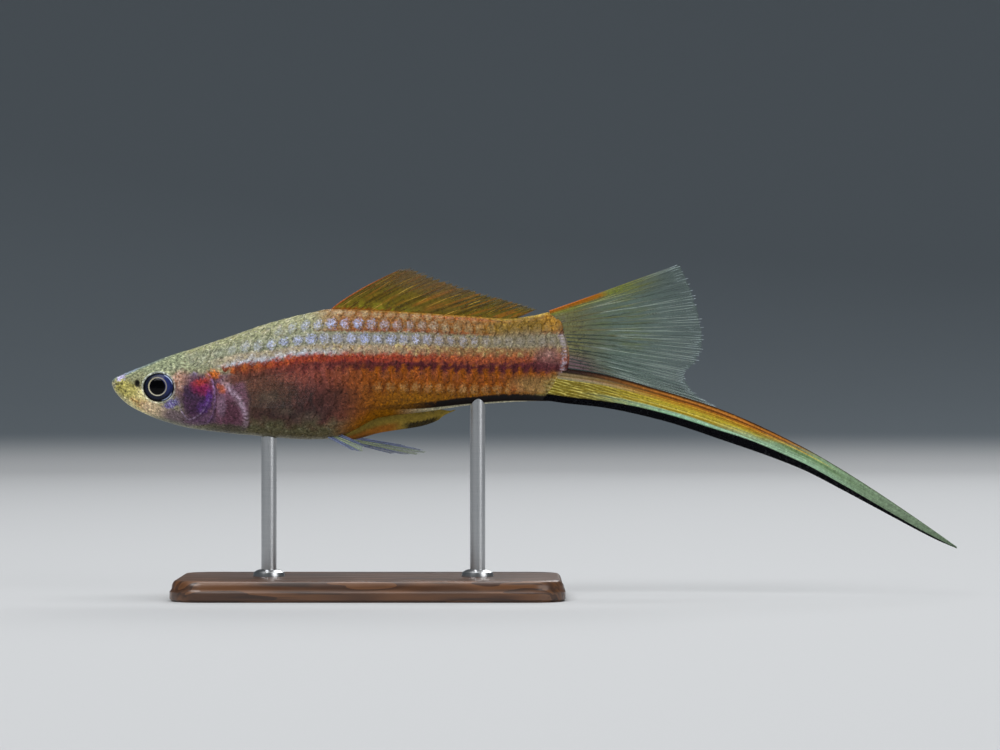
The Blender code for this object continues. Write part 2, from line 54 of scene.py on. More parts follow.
# Driving sizes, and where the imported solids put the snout
TOTAL_LENGTH = 121.4
SWORD_DROP = 23.95
SNOUT_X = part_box("sword")[1].x / MM - TOTAL_LENGTH
SNOUT_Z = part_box("sword")[0].z / MM + SWORD_DROP

# The camera stands level and square to the fish's left side, aimed at the frame's centre
CAMERA_AIM = (55.72, 1.0)
CAMERA_DISTANCE = 600.0
FRAME_WIDTH = 143.8
SENSOR = 36.0

# Sections of the body: x, top, bottom, half width, level of the widest place, squareness
BODY_SECTIONS = [
    (0.0, 0.18, -0.50, 0.70, -0.12, 2.2),
    (0.35, 0.56, -1.32, 1.25, -0.30, 2.2),
    (1.0, 0.86, -2.12, 1.60, -0.45, 2.2),
    (2.4, 1.50, -3.36, 2.10, -0.70, 2.2),
    (4.6, 2.35, -4.52, 2.75, -0.90, 2.25),
    (7.5, 3.50, -5.68, 3.37, -1.00, 2.25),
    (11.5, 4.85, -6.70, 3.88, -1.00, 2.2),
    (16.5, 6.50, -7.35, 4.25, -0.80, 2.15),
    (22.5, 8.55, -8.00, 4.50, -0.30, 2.1),
    (28.0, 9.95, -8.35, 4.40, 0.30, 2.1),
    (31.8, 10.60, -8.20, 4.05, 0.80, 2.1),
    (34.4, 10.55, -7.20, 3.75, 1.20, 2.1),
    (38.4, 10.35, -5.25, 3.25, 1.90, 2.1),
    (45.0, 9.98, -4.38, 2.60, 2.60, 2.1),
    (52.0, 9.50, -3.38, 2.05, 3.00, 2.1),
    (56.6, 9.20, -3.04, 1.75, 3.10, 2.1),
    (60.5, 9.65, -2.86, 1.38, 3.40, 2.1),
    (63.2, 10.25, -2.85, 1.02, 3.70, 2.1),
    (66.5, 10.60, -3.05, 0.62, 3.80, 2.1),
]
SKIN_END = 66.5
RING_POINTS = 200
RING_STEPS = [(0.0, 0.045), (1.2, 0.085), (16.0, 0.15), (20.0, 0.23)]
COAT_DEPTH = 0.10
STALK_END_X = 65.5
STALK_END_LEVEL = 3.7
STALK_END_REACH = 6.6
STALK_END_DEPTH = 2.6
STALK_TAPER = 0.55

# Head
EYE_X = 6.88
EYE_Z = -0.78
EYE_HALF = (2.24, 2.06)
EYE_DOME = 0.42
PUPIL_X = 6.76
PUPIL_Z = -0.64
PUPIL_RADIUS = 1.10
MOUTH_LINE = [(-1.0, 0.10), (0.05, 0.02), (0.75, -0.40), (1.35, -0.92)]
JAW_FOLD = [(1.35, -0.92), (2.10, -1.75), (3.20, -2.75), (4.30, -3.55), (5.10, -5.60)]
NOSTRIL_X = 3.75
NOSTRIL_Z = -0.22
MOUTH_DEPTH = 0.13
JAW_DEPTH = 0.11
ORBIT_DEPTH = 0.85
NOSTRIL_DEPTH = 0.42
GILL_LIFT = 0.17
GILL_DEPTH = 0.20
PREOPERCLE = [(9.7, -1.9), (9.9, -3.3), (10.4, -4.6), (11.3, -5.35), (12.6, -4.8), (13.7, -3.5),
              (14.5, -1.4)]
OPERCLE_EDGE = [(13.2, 1.9), (14.4, 0.7), (14.9, -1.0), (15.0, -2.9), (14.7, -4.5), (13.8, -5.8),
                (11.6, -6.3)]
GIRDLE = [(16.4, -0.2), (17.2, -1.2), (18.4, -2.4), (19.2, -4.2), (19.4, -5.9), (18.6, -7.0)]
HEAD_END = [(9.5, 6.5), (11.0, 3.0), (13.2, 1.9), (16.0, 1.9), (19.0, 0.6), (20.2, -3.5), (19.4, -8.5)]

# Scales: their columns along the fish and their rows round it, counted down from the pearl row
PEARL_ROW = [(9.0, 3.05), (12.6, 3.75), (15.5, 4.30), (19.2, 5.03), (22.7, 5.35), (26.6, 5.98),
             (30.6, 6.18), (45.3, 6.15), (48.7, 5.90), (56.0, 5.82), (66.5, 5.90)]
SCALE_LENGTHS = [(9.0, 1.90), (39.0, 1.90), (43.0, 1.68), (56.0, 1.64), (66.0, 1.45)]
SCALE_COLUMN_START = 11.6
ROW_PITCH = 1.74
ROW_SPREAD = [(9.0, 1.20), (18.0, 1.14), (30.0, 1.0), (66.5, 1.0)]
UPPER_ROWS = {-3: 0.0, -2: 0.22, -1: 0.59}
ROW_STARTS = {-3: 10.6, -2: 10.4, -1: 10.2, 0: 11.2, 1: 16.0, 2: 16.7, 3: 18.8, 4: 20.2, 5: 20.6,
              6: 20.4, 7: 19.6, 8: 18.6, 9: 17.6, 10: 16.8}
NAPE_ROW_END = 31.0
STRIPE_LEVELS = [(36.0, -3.9), (44.6, -3.45), (51.3, -2.75), (57.9, -2.30), (62.8, -2.37),
                 (66.5, -2.60)]
STRIPE_HALVES = [(36.0, 0.25), (44.6, 0.50), (51.3, 0.55), (66.5, 0.58)]
SCALE_ROOT = -0.68
SCALE_TIP = 0.47
SCALE_HALF_WIDTH = 0.72
SCALE_ROUNDNESS = 0.78
SCALE_RISE = 0.06
SCALE_THICKNESS = 0.05
SCALE_COLUMNS = 9
SCALE_ROWS = 5
SCALE_SEED = 11
BAKE_PATCH = 0.003
BAKE_START = (8.0, -2.0)
BAKE_SPAN = (60.0, 26.0)

# Fins
RAY_SIDES = 6
FAN_RAYS = 18
FAN_ROOT_TOP = 10.15
FAN_ROOT_LOW = 2.25
FAN_MARGIN = [(81.6, 16.95), (83.3, 13.5), (84.5, 9.6), (85.0, 6.0), (84.2, 3.2), (82.4, 1.0),
              (83.9, -1.5), (86.9, -3.3)]
SWORD_SECTIONS = [
    (62.5, 2.35, -2.70),
    (65.5, 1.90, -3.12),
    (70.1, 1.15, -3.62),
    (78.7, -1.15, -5.45),
    (87.4, -3.90, -8.25),
    (98.9, -9.15, -12.45),
    (104.9, -12.60, -15.50),
    (110.4, -16.10, -18.45),
    (118.6, -21.70, -22.75),
    (121.4, -23.70, -23.95),
]
SWORD_BLACK = [(62, 0.79), (70, 0.79), (76, 0.74), (85, 0.72), (92, 0.66), (97, 0.68), (106, 0.72),
               (113, 0.78), (121.4, 0.76)]
SWORD_RAYS = 11
SWORD_LONG = 560
SWORD_ACROSS = 60
DORSAL_ROOT = (31.4, 57.2)
DORSAL_TIPS = [(41.3, 16.15), (43.1, 16.25), (45.2, 15.50), (48.1, 14.45), (51.0, 13.45),
               (53.8, 12.55), (56.2, 11.95), (58.8, 11.20), (60.9, 10.45)]
DORSAL_BULGE = 0.5
DORSAL_RAYS = 14
PECTORAL_ROOT = [(16.7, -0.35), (17.2, -3.2)]
PECTORAL_MARGIN = [(26.4, 1.55), (29.0, 0.75), (29.9, -0.6), (29.3, -2.2), (27.0, -3.4), (23.6, -3.75)]
PECTORAL_LIFT = 1.7
PECTORAL_RAYS = 12
PELVIC_ROOT = [(31.1, 0.95), (32.9, 0.75)]
PELVIC_MARGINS = {
    "left": [(34.6, -3.0, -9.75), (36.0, -3.3, -9.95), (36.2, -2.8, -9.20), (35.7, -2.2, -8.75)],
    "right": [(40.0, 2.6, -10.35), (43.4, 2.5, -10.5), (45.1, 2.1, -10.05), (41.5, 1.7, -9.05)],
}
PELVIC_RAYS = 6
GONOPODIUM_KEEL = [(33.3, -8.40), (35.6, -7.98), (38.5, -7.30), (41.3, -6.85), (44.2, -6.40),
                   (46.7, -5.55), (47.7, -4.80), (49.3, -4.05)]
GONOPODIUM_RAYS = 6

# Stand
BASE_CORNER = 5.0
ROD_RADIUS = 1.1
ROD_PLACES = {"front": 22.5, "rear": 52.5}
COLLAR_RADIUS = 2.3
COLLAR_HEIGHT = 1.0

# Varnish over the painted skin and scales
LACQUER = {"Coat_Weight": 0.05, "Coat_Roughness": 0.2, "Specular_IOR_Level": 0.13}


def tint(red, green, blue):
    """A display colour as linear light."""
    share = np.array([red, green, blue]) / 255.0
    return np.where(share <= 0.04045, share / 12.92, ((share + 0.055) / 1.055) ** 2.4)


# Paints of back, flanks and belly
OLIVE_BACK = tint(156, 156, 106)
SEA_GREEN = tint(136, 140, 112)
RUST_NET = tint(140, 84, 30)
BACK_GOLD = tint(180, 132, 46)
BACK_YELLOW = tint(190, 160, 66)
LILAC_CREAM = tint(178, 162, 136)
CREAM = tint(174, 154, 128)
TAN = tint(140, 106, 70)
PEARL_WHITE = tint(196, 204, 218)
PEARL_LILAC = tint(174, 182, 220)
PEARL_GREY = tint(156, 148, 142)
PEACH = tint(172, 150, 110)
RED_STRIPE = tint(156, 62, 44)
RUST_RED = tint(150, 78, 46)
PURPLE_LINE = tint(80, 30, 38)
MAROON = tint(142, 76, 66)
PLUM_BROWN = tint(46, 34, 34)
RUST = tint(148, 78, 4)
DARK_RUST = tint(98, 42, 18)
GOLD = tint(142, 92, 4)
ROSE = tint(142, 86, 60)
BEIGE = tint(168, 130, 82)
SILVER_OLIVE = tint(90, 92, 64)
PALE_BELLY = tint(128, 126, 106)
BLACK_STRIPE = tint(14, 9, 9)
ORANGE = tint(176, 92, 36)
MAUVE = tint(150, 104, 100)

# Pale spots of the scales: first and last row, the paint in front, the paint behind and where
# one turns into the other, the strength, where it rises, what it loses and where
SPOT_ROWS = (
    (-9, -2, PEACH, TAN * 1.1, (46, 58), 0.85, (28, 33), 0.7, (42, 56)),
    (-1, -1, PEARL_LILAC * 0.95, PEACH * 0.8, (33, 50), 0.95, (20, 32), 0.6, (46, 58)),
    (0, 0, PEARL_LILAC, PEARL_LILAC * 0.1 + PEARL_GREY * 0.9, (36, 56), 1.0, (13, 28), 0.6, (45, 60)),
    (1, 1, PEARL_WHITE, CREAM, (31, 37), 0.40, (15, 20), 0.6, (38, 52)),
    (3, 3, ROSE, ROSE, (30, 38), 0.45, (30, 38), 0.5, (54, 60)),
    (4, 4, BEIGE, BEIGE, (34, 42), 0.85, (34, 42), 0.3, (57, 63)),
    (5, 99, GOLD * 1.25, GOLD * 1.25, (36, 44), 0.2, (36, 44), 0.0, (36, 44)),
)
SPOT_HALF = (0.36, 0.40)


def in_place(points):
    """Points of the fish, in millimetres from its snout, in metres where the solids are."""
    return (np.asarray(points, float) + (SNOUT_X, 0.0, SNOUT_Z)) * MM


def smooth(rows, x, column=1):
    """The value of one column of a table at x, on a smooth curve that doesn't overshoot."""
    table = np.asarray(rows, float)
    places, values = table[:, 0], table[:, column]
    slopes = np.diff(values) / np.diff(places)
    turning = slopes[:-1] * slopes[1:]
    inner = np.where(turning > 0, 2 * turning / np.where(turning > 0, slopes[:-1] + slopes[1:], 1.0), 0.0)
    bends = np.concatenate([slopes[:1], inner, slopes[-1:]])
    x = np.clip(x, places[0], places[-1])
    i = np.clip(np.searchsorted(places, x, "right") - 1, 0, len(places) - 2)
    step = places[i + 1] - places[i]
    t = (x - places[i]) / step
    return ((2 * t**3 - 3 * t**2 + 1) * values[i] + (t**3 - 2 * t**2 + t) * bends[i] * step
            + (3 * t**2 - 2 * t**3) * values[i + 1] + (t**3 - t**2) * bends[i + 1] * step)


def on_margin(points, u):
    """The place at the share u along a smooth line through evenly counted points."""
    spaced = [(i / (len(points) - 1),) + tuple(p) for i, p in enumerate(points)]
    return [smooth(spaced, u, column) for column in range(1, len(spaced[0]))]


def soft(low, high, value):
    """A soft step from 0 at low to 1 at high."""
    t = np.clip((value - low) / (high - low), 0.0, 1.0)
    return t * t * (3 - 2 * t)


def fade(low, high, value):
    """A soft step from 1 at low to 0 at high."""
    return 1 - soft(low, high, value)


def within(low, high, value, edge):
    """1 between low and high, with soft edges."""
    return soft(low - edge, low + edge, value) * (1 - soft(high - edge, high + edge, value))


def lay(under, paint, share):
    """A coat of paint over another, as thick as the share."""
    return under + (paint - under) * np.clip(share, 0.0, 1.0)[..., None]


def coats(under, *layers):
    """Coats laid in turn over a first paint. Each is a paint, or its display values, and its share."""
    def mixed(paint):
        return tint(*paint) if isinstance(paint, tuple) else paint

    colour = mixed(under)
    for paint, share in layers:
        colour = lay(colour, mixed(paint), share)
    return colour


def with_opacity(colour, opacity):
    """Colours and their opacity side by side."""
    return np.hstack([colour, opacity[:, None]])


def daub(x, z, at_x, at_z, half_x, half_z, tilt=0.0, edge=0.35):
    """How strongly a soft oval mark covers each place. Tilt is in degrees, nose up."""
    turn = np.radians(tilt)
    dx, dz = x - at_x, z - at_z
    along = (dx * np.cos(turn) + dz * np.sin(turn)) / half_x
    across = (dz * np.cos(turn) - dx * np.sin(turn)) / half_z
    return fade(1 - edge, 1 + edge, np.hypot(along, across))


def mottle(x, z, size, seed):
    """An uneven cloud between -1 and 1, with blotches about as large as the size."""
    flat = zip(np.ravel(x) / size, np.ravel(z) / size)
    return np.array([noise.noise((a, b, seed)) for a, b in flat]).reshape(np.shape(x))


def bend_line(points, count=60):
    """A smooth line through a few points, by a Catmull-Rom curve."""
    p = np.asarray(points, float)
    p = np.vstack([2 * p[0] - p[1], p, 2 * p[-1] - p[-2]])
    place = np.linspace(0, len(points) - 1, count)
    i = np.minimum(place.astype(int), len(points) - 2)
    t = (place - i)[:, None]
    before, start, end, after = p[i], p[i + 1], p[i + 2], p[i + 3]
    return 0.5 * (2 * start + (end - before) * t + (2 * before - 5 * start + 4 * end - after) * t**2
                  + (3 * start - before - 3 * end + after) * t**3)


def from_line(points, x, z):
    """How far places lie from a smooth line, positive on its left, and how far along they are."""
    line = bend_line(points)
    best = np.full(np.shape(x), 1e9)
    side, share = np.zeros(np.shape(x)), np.zeros(np.shape(x))
    for k, (a, b) in enumerate(zip(line, line[1:])):
        run = b - a
        t = np.clip(((x - a[0]) * run[0] + (z - a[1]) * run[1]) / (run @ run), 0, 1)
        dx, dz = x - a[0] - t * run[0], z - a[1] - t * run[1]
        away = np.hypot(dx, dz)
        near = away < best
        best = np.where(near, away, best)
        side = np.where(near, np.sign(run[0] * dz - run[1] * dx), side)
        share = np.where(near, (k + t) / (len(line) - 1), share)
    return best * side, share


def ridge(away, width):
    """A rounded ridge or groove across a distance from its crest, 1 high."""
    return np.exp(-(away / width) ** 2)


def eye_reach(x, z):
    """How far places lie from the middle of the eye, with its rim at 1."""
    return np.hypot((x - EYE_X) / EYE_HALF[0], (z - EYE_Z) / EYE_HALF[1])


def section(x):
    """Half width, level, rise above the level, fall below it, and squareness at x."""
    top, bottom, half, level, square = [smooth(BODY_SECTIONS, x, c) for c in range(1, 6)]
    return half, level, top - level, level - bottom, square


def skin_place(x, turn):
    """A place on the body. Turn is 0 along the back, half a turn along the belly, right side positive."""
    half, level, rise, fall, square = section(x)
    c, s = np.cos(turn), np.sin(turn)
    y = half * np.sign(s) * np.abs(s) ** (2 / square)
    z = level + np.where(c > 0, rise, fall) * np.sign(c) * np.abs(c) ** (2 / square)
    y = y * (1 - STALK_TAPER * soft(-2.4, 0.4, x - stalk_end(z)))
    return np.stack([np.broadcast_to(x, y.shape), y, z], axis=-1)


def skin_normal(x, turn):
    """The direction that the body faces at a place."""
    ahead = skin_place(x + 0.05, turn) - skin_place(np.maximum(x - 0.05, 0.0), turn)
    round_it = skin_place(x, turn + 0.01) - skin_place(x, turn - 0.01)
    out = np.cross(ahead, round_it)
    return out / np.maximum(np.linalg.norm(out, axis=-1, keepdims=True), 1e-9)


def flank(x, z):
    """How far the skin stands from the middle plane at a place on the side of the body."""
    half, level, rise, fall, square = section(x)
    share = np.abs(z - level) / np.where(z > level, rise, fall)
    return half * np.maximum(0.0, 1.0 - share**square) ** (1.0 / square)


def belly_at(x, y):
    """The height of the underside at a place off the middle plane."""
    half, level, rise, fall, square = section(x)
    return level - fall * np.maximum(0.0, 1.0 - (np.abs(y) / half) ** square) ** (1.0 / square)


def stalk_end(z):
    """Where the flesh of the tail ends, as a shallow curve that bulges between the rays."""
    return STALK_END_X - STALK_END_DEPTH * ((z - STALK_END_LEVEL) / STALK_END_REACH) ** 2


# How far round from the back each place is, in millimetres of skin
GIRTH_X = np.linspace(8.0, SKIN_END, 240)
GIRTH_TURN = np.linspace(0.0, np.pi, 241)
GIRTH_SHARE = np.linspace(0.0, 1.0, 201)


def measure_girth():
    """At each station: the half girth, the turn at even shares of it, and where the pearl row lies."""
    rings = skin_place(GIRTH_X[:, None], GIRTH_TURN[None, :])
    run = np.linalg.norm(np.diff(rings, axis=1), axis=-1).cumsum(axis=1)
    run = np.hstack([np.zeros((len(GIRTH_X), 1)), run])
    half_girth = run[:, -1]
    turns = np.array([np.interp(GIRTH_SHARE * g, r, GIRTH_TURN) for g, r in zip(half_girth, run)])
    pearl = [np.interp(-z, -ring[:, 2], r) for z, ring, r in zip(smooth(PEARL_ROW, GIRTH_X), rings, run)]
    return half_girth, turns, np.array(pearl)


HALF_GIRTH, TURN_TABLE, PEARL_GIRTH = measure_girth()


def turn_at(x, girth):
    """The turn at a distance round from the back, also past the midlines of back and belly."""
    whole = np.interp(x, GIRTH_X, HALF_GIRTH)
    share = girth / whole
    folded = np.where(share > 1, 2 - share, np.abs(share))
    column = np.interp(x, GIRTH_X, np.arange(len(GIRTH_X)))
    i = np.minimum(column.astype(int), len(GIRTH_X) - 2)
    t = column - i
    place = np.clip(folded, 0, 1) * (len(GIRTH_SHARE) - 1)
    j = np.minimum(place.astype(int), len(GIRTH_SHARE) - 2)
    w = place - j
    near = TURN_TABLE[i, j] * (1 - w) + TURN_TABLE[i, j + 1] * w
    far = TURN_TABLE[i + 1, j] * (1 - w) + TURN_TABLE[i + 1, j + 1] * w
    turn = near * (1 - t) + far * t
    return np.where(share > 1, 2 * np.pi - turn, np.where(share < 0, -turn, turn))


def row_girth(row, x):
    """How far round from the back a row of scales lies at x."""
    pearl = np.interp(x, GIRTH_X, PEARL_GIRTH)
    if row <= 0:
        return pearl * UPPER_ROWS.get(row, 1.0)
    return pearl + ROW_PITCH * smooth(ROW_SPREAD, x) * row


def scale_columns():
    """Where the columns of scales lie along the fish."""
    places = [SCALE_COLUMN_START]
    while places[-1] < STALK_END_X:
        places.append(places[-1] + float(smooth(SCALE_LENGTHS, places[-1])))
    return np.array(places)


COLUMNS = scale_columns()


def column_number(x):
    """The count of scale columns up to x, with the part of the next one."""
    first = SCALE_COLUMN_START - 10 * SCALE_LENGTHS[0][1]
    places = np.concatenate([[first], COLUMNS])
    return np.interp(x, places, np.concatenate([[-10.0], np.arange(len(COLUMNS))]))


def row_number(x, z):
    """How many rows of scales a place on the side lies below the pearl row."""
    pearl, top = smooth(PEARL_ROW, x), smooth(BODY_SECTIONS, x)
    above = np.maximum(z - pearl, 0) / np.maximum(top - pearl, 0.5)
    upper = np.interp(above, [0.0, 0.5, 0.87, 1.0], [0.0, 1.0, 2.0, 2.6])
    lower = (pearl - z) / (ROW_PITCH * smooth(ROW_SPREAD, x))
    return np.where(z > pearl, -upper, lower)


def between_scales(x):
    """A saw-toothed wave along the fish: 0 at the middle of each scale of the pearl row, 1 between two."""
    return 1 - np.abs(2 * (column_number(x) % 1.0) - 1)


def spot_paint(row, x, seed_z):
    """The pale spot of the scales in a row at x, and how strong it is."""
    colour, strength = np.zeros(x.shape + (3,)), np.zeros(x.shape)
    for first, last, front, behind, change, peak, rise, loss, fall in SPOT_ROWS:
        here = (row >= first) & (row <= last)
        colour = np.where(here[..., None], lay(front, behind, soft(*change, x)), colour)
        strength = np.where(here, peak * soft(*rise, x) * (1 - loss * soft(*fall, x)), strength)
    return colour, strength * (0.88 + 0.3 * mottle(x, seed_z, 2.1, 3.0))


def wrapped(x, y, z):
    """The height z counted on over back and belly, so that mottling is not drawn out across them."""
    half, level = smooth(BODY_SECTIONS, x, 3), smooth(BODY_SECTIONS, x, 4)
    return z + np.tanh((z - level) / 0.5) * np.clip(half - np.abs(y), 0, None)


def back_paint(x, k, true_k, gap, rear, cloud, fine, speck):
    """The back, the pearl rows and the cream flecks above the red stripe."""
    front = fade(0.6, 1.2, k) * (1 - rear)
    blue_line = within(0.98, 1.24, true_k + 0.10 * speck, 0.07) * soft(14, 18, x) * fade(27, 36, x)
    grains = within(0.45, 1.40, k, 0.15) * soft(28, 34, x)
    flame = gap**1.5 * within(0.70, 1.45, k - 0.25 * gap, 0.15) * soft(33, 44, x)
    return coats(
        SEA_GREEN,
        (OLIVE_BACK, within(-3.5, -0.8, k, 0.6) * (0.5 + 0.9 * fine)),
        (TAN, soft(0.15, 0.5, speck + 0.4 * fine) * 0.45 * (1 - rear)),
        ((194, 196, 172), soft(0.05, 0.45, fine + 0.5 * speck) * front * 0.5),
        ((92, 92, 74), soft(0.10, 0.45, -fine - 0.5 * speck) * front * 0.5),
        (RUST_NET, rear * fade(-0.62, -0.38, k) * (0.85 + 0.5 * fine)),
        (RUST_RED * 0.8, rear * within(-0.68, -0.50, k, 0.07) * 0.75),
        (lay(PEARL_GREY * 0.86, TAN, soft(38, 54, x)),
         within(-0.36, 0.42, k, 0.14) * (0.75 - 0.35 * soft(46, 58, x)) * soft(24, 34, x)),
        (LILAC_CREAM * 0.92, within(0.45, 1.40, k, 0.12) * soft(13, 17, x) * 0.9),
        (lay(CREAM, TAN, soft(38, 50, x)), within(0.50, 1.40, k, 0.12) * soft(30, 37, x)),
        (OLIVE_BACK * 0.9, within(0.45, 1.25, k, 0.15) * soft(0.2, 0.5, speck) * 0.6),
        (PEARL_WHITE, blue_line * (0.85 + 0.8 * fine)),
        ((206, 184, 118), soft(0.1, 0.4, speck) * grains * 0.6),
        (ORANGE * 0.8, soft(0.1, 0.4, -speck + 0.3 * cloud) * grains * 0.5),
        (ORANGE * 0.9, flame * 0.75))


def flank_paint(x, k, gap, streak):
    """The flesh below the red stripe, drawn out in upright streaks."""
    dark = np.clip(0.15 + 0.50 * gap + 0.9 * streak, 0, 1)
    bright = soft(0.05, 0.42, streak - 0.25 * gap)
    return coats(
        MAROON,
        (RUST, soft(29, 38, x + 1.5 * streak)),
        (GOLD, soft(3.2, 4.7, k + 0.3 * streak) * soft(33, 43, x)),
        (DARK_RUST, dark * soft(14, 20, x) * fade(4.2, 5.6, k) * 0.7),
        (ORANGE * 1.25, bright * within(2.4, 4.2, k, 0.3) * soft(33, 38, x) * 0.55))


def add_stripe(colour, x, k, gap, cloud, fine, speck, streak):
    """The red stripe, its orange start behind the gill cover, and the dark zigzag under it."""
    red = coats(
        RED_STRIPE,
        (RUST_RED, 0.9 * soft(40, 54, x) + 0.5 * fade(17, 24, x)),
        (ORANGE * 1.15, soft(0.0, 0.5, speck + 0.4 * cloud) * 0.55),
        (PURPLE_LINE * 1.3, soft(0.1, 0.5, fine - 0.5 * speck) * 0.45))
    teeth = within(1.84, 2.12 + 0.70 * gap, k + 0.24 * fine + 0.20 * speck, 0.12)
    patchy = (0.74 + 0.20 * soft(33, 42, x) + 0.25 * fine) * (1 - 0.4 * within(19, 28, x, 3))
    start = within(1.2, 1.75, k, 0.15) * fade(19, 25, x) * soft(0.3, 0.8, 1 - gap) * soft(13.5, 15, x)
    bars = within(1.10, 1.90, k, 0.15) * soft(0.5, 0.9, gap) * fade(20, 27, x) * soft(14, 16, x)
    return coats(
        colour,
        (red, within(1.26 - 0.16 * gap - 0.25 * streak, 1.98, k, 0.12) * soft(13.0, 16.5, x)),
        (PURPLE_LINE, teeth * patchy * soft(15, 19, x)),
        (ORANGE, start * 0.8),
        (DARK_RUST * 0.8, bars * 0.7))


def add_belly(colour, x, z, low, cloud, fine, speck, streak):
    """The dark gut patch, the pale lower flank and the belly, by the height over the underside."""
    gut = daub(x, z + 0.7 * cloud, 27.0, -3.0, 8.2, 2.7, 4, 0.5)
    blotches = ((22.6, -2.2, 1.3, 0.7), (28.4, -5.2, 1.6, 0.8), (25.0, -4.2, 1.2, 0.5))
    return coats(
        colour,
        (PLUM_BROWN, 0.88 * gut * (0.9 + 0.35 * streak)),
        ((80, 64, 46), daub(x, z, 21.5, -1.6, 4.6, 3.2, 0, 0.5) * 0.6),
        (PLUM_BROWN * 1.45, daub(x, z + 0.5 * cloud, 25.5, -5.2, 7.5, 2.0, 0, 0.6) * 0.7),
        *[((104, 90, 76), daub(x + 0.4 * cloud, z + 0.4 * fine, *oval, 0, 0.8) * 0.5) for oval in blotches],
        (SILVER_OLIVE, fade(1.2, 3.4, low + cloud) * fade(31, 36, x) * 0.9),
        (PALE_BELLY * 0.8, soft(0.1, 0.4, speck) * fade(1.4, 3.0, low) * fade(31, 36, x) * 0.5),
        (GOLD * 0.9, fade(0.4, 2.4, low) * within(33, 42, x, 2) * 0.7),
        (PALE_BELLY, fade(0.1, 0.7, low) * 0.8 * fade(30, 35, x)))


def add_edges(colour, x, off, edge, speck):
    """The black stripe along the underside with a pale edge below it, painted much brighter as painted light
    where the underside faces down, and the back's gold edge.
    Off counts in half widths of the stripe, edge in millimetres down from the back."""
    stripe = fade(0.85, 1.25, off + 0.15 * speck) * fade(0.62, 0.85, -off)
    return coats(
        colour,
        # painted light: the pale edge under the black stripe is brightened 2.4 times where the underside
        # faces down into shade
        (PALE_BELLY * 2.4, soft(0.55, 0.8, -off) * soft(40, 47, x)),
        (BLACK_STRIPE, stripe * (0.45 * soft(31, 37, x) + 0.55 * soft(41, 47, x))),
        (BACK_GOLD, fade(0.10, 0.45, edge) * soft(33, 44, x) * 0.85),
        (ORANGE, within(0.35, 0.7, edge, 0.12) * soft(40, 48, x) * fade(57, 60, x) * 0.6),
        (BACK_YELLOW, fade(0.25, 0.65, edge) * soft(53.5, 56.5, x) * 0.9))


def add_stalk(colour, x, z, off, cloud, fine, speck):
    """The marks on the tail stalk, up to the roots of the fan's and the sword's rays."""
    past = x - stalk_end(z)
    dots = np.clip(0.45 + 0.7 * np.sin(z * 2 * np.pi / 0.44 + 2.0 * fine) + 0.5 * speck, 0, 1)
    root = soft(-3.4, -0.6, past) * fade(0.2, 1.8, z) * soft(0.5, 1.0, off)
    spokes = np.clip(np.sin((z + 0.25 * (x - 62.0)) * 2 * np.pi / 0.55), 0, 1)
    return coats(
        colour,
        ((126, 102, 34), daub(x, z + 0.4 * cloud, 58.5, 7.9, 5.2, 1.5, 5, 0.5) * 0.8),
        (BACK_GOLD * 0.85, daub(x, z, 63.4, 8.7, 1.5, 1.5, 60, 0.4) * 0.8),
        ((138, 128, 106), daub(x, z, 59.5, 6.0, 4.8, 1.2, 0, 0.5) * 0.7),
        (MAUVE * 0.76, daub(x, z + 0.3 * fine, 62.6, 3.5, 2.0, 1.6, 8, 0.5) * 0.85),
        (PURPLE_LINE, daub(x, z + 0.5 * fine, 62.2, 2.2, 3.0, 0.75, -6, 0.5) * 0.8),
        ((186, 142, 134), daub(x, z, 62.8, 4.0, 0.5, 0.4, 0, 0.5) * 0.55),
        ((140, 116, 70), daub(x, z, 61.0, -0.4, 3.6, 1.2, -4, 0.5) * 0.7),
        ((168, 154, 166), within(-0.90, -0.15, past, 0.2) * within(0.2, 7.0, z, 0.5) * dots),
        ((70, 58, 52), within(-0.20, 0.10, past, 0.10) * within(0.4, 8.5, z, 0.5) * 0.6),
        ((140, 122, 54), root * 0.9),
        ((206, 194, 134), root * spokes * 0.6))


def body_paint(x, y, z):
    """The ground colours of the body behind the gill opening, without its spots."""
    top, bottom = smooth(BODY_SECTIONS, x, 1), smooth(BODY_SECTIONS, x, 2)
    gap = between_scales(x)
    round_z = wrapped(x, y, z)
    cloud = mottle(x, round_z, 1.3, 0.0)
    fine = mottle(x, round_z, 0.45, 5.0)
    speck = mottle(x, round_z, 0.24, 13.0)
    streak = mottle(x, round_z / 5.0, 0.50, 15.0)
    true_k = row_number(x, z)
    k = true_k + 0.09 * fine + 0.13 * speck
    rear = soft(28.5, 34.0, x - 0.5 * true_k + cloud)
    off = (z - smooth(STRIPE_LEVELS, x)) / smooth(STRIPE_HALVES, x)
    colour = back_paint(x, k, true_k, gap, rear, cloud, fine, speck)
    colour = lay(colour, flank_paint(x, k, gap, streak), soft(1.80, 2.05, k))
    colour = add_stripe(colour, x, k, gap, cloud, fine, speck, streak)
    colour = add_belly(colour, x, z, z - bottom, cloud, fine, speck, streak)
    colour = add_edges(colour, x, off, top - z + 0.12 * speck, speck)
    colour = add_stalk(colour, x, z, off, cloud, fine, speck)
    return colour * (1 + 0.12 * cloud + 0.22 * speck)[..., None]


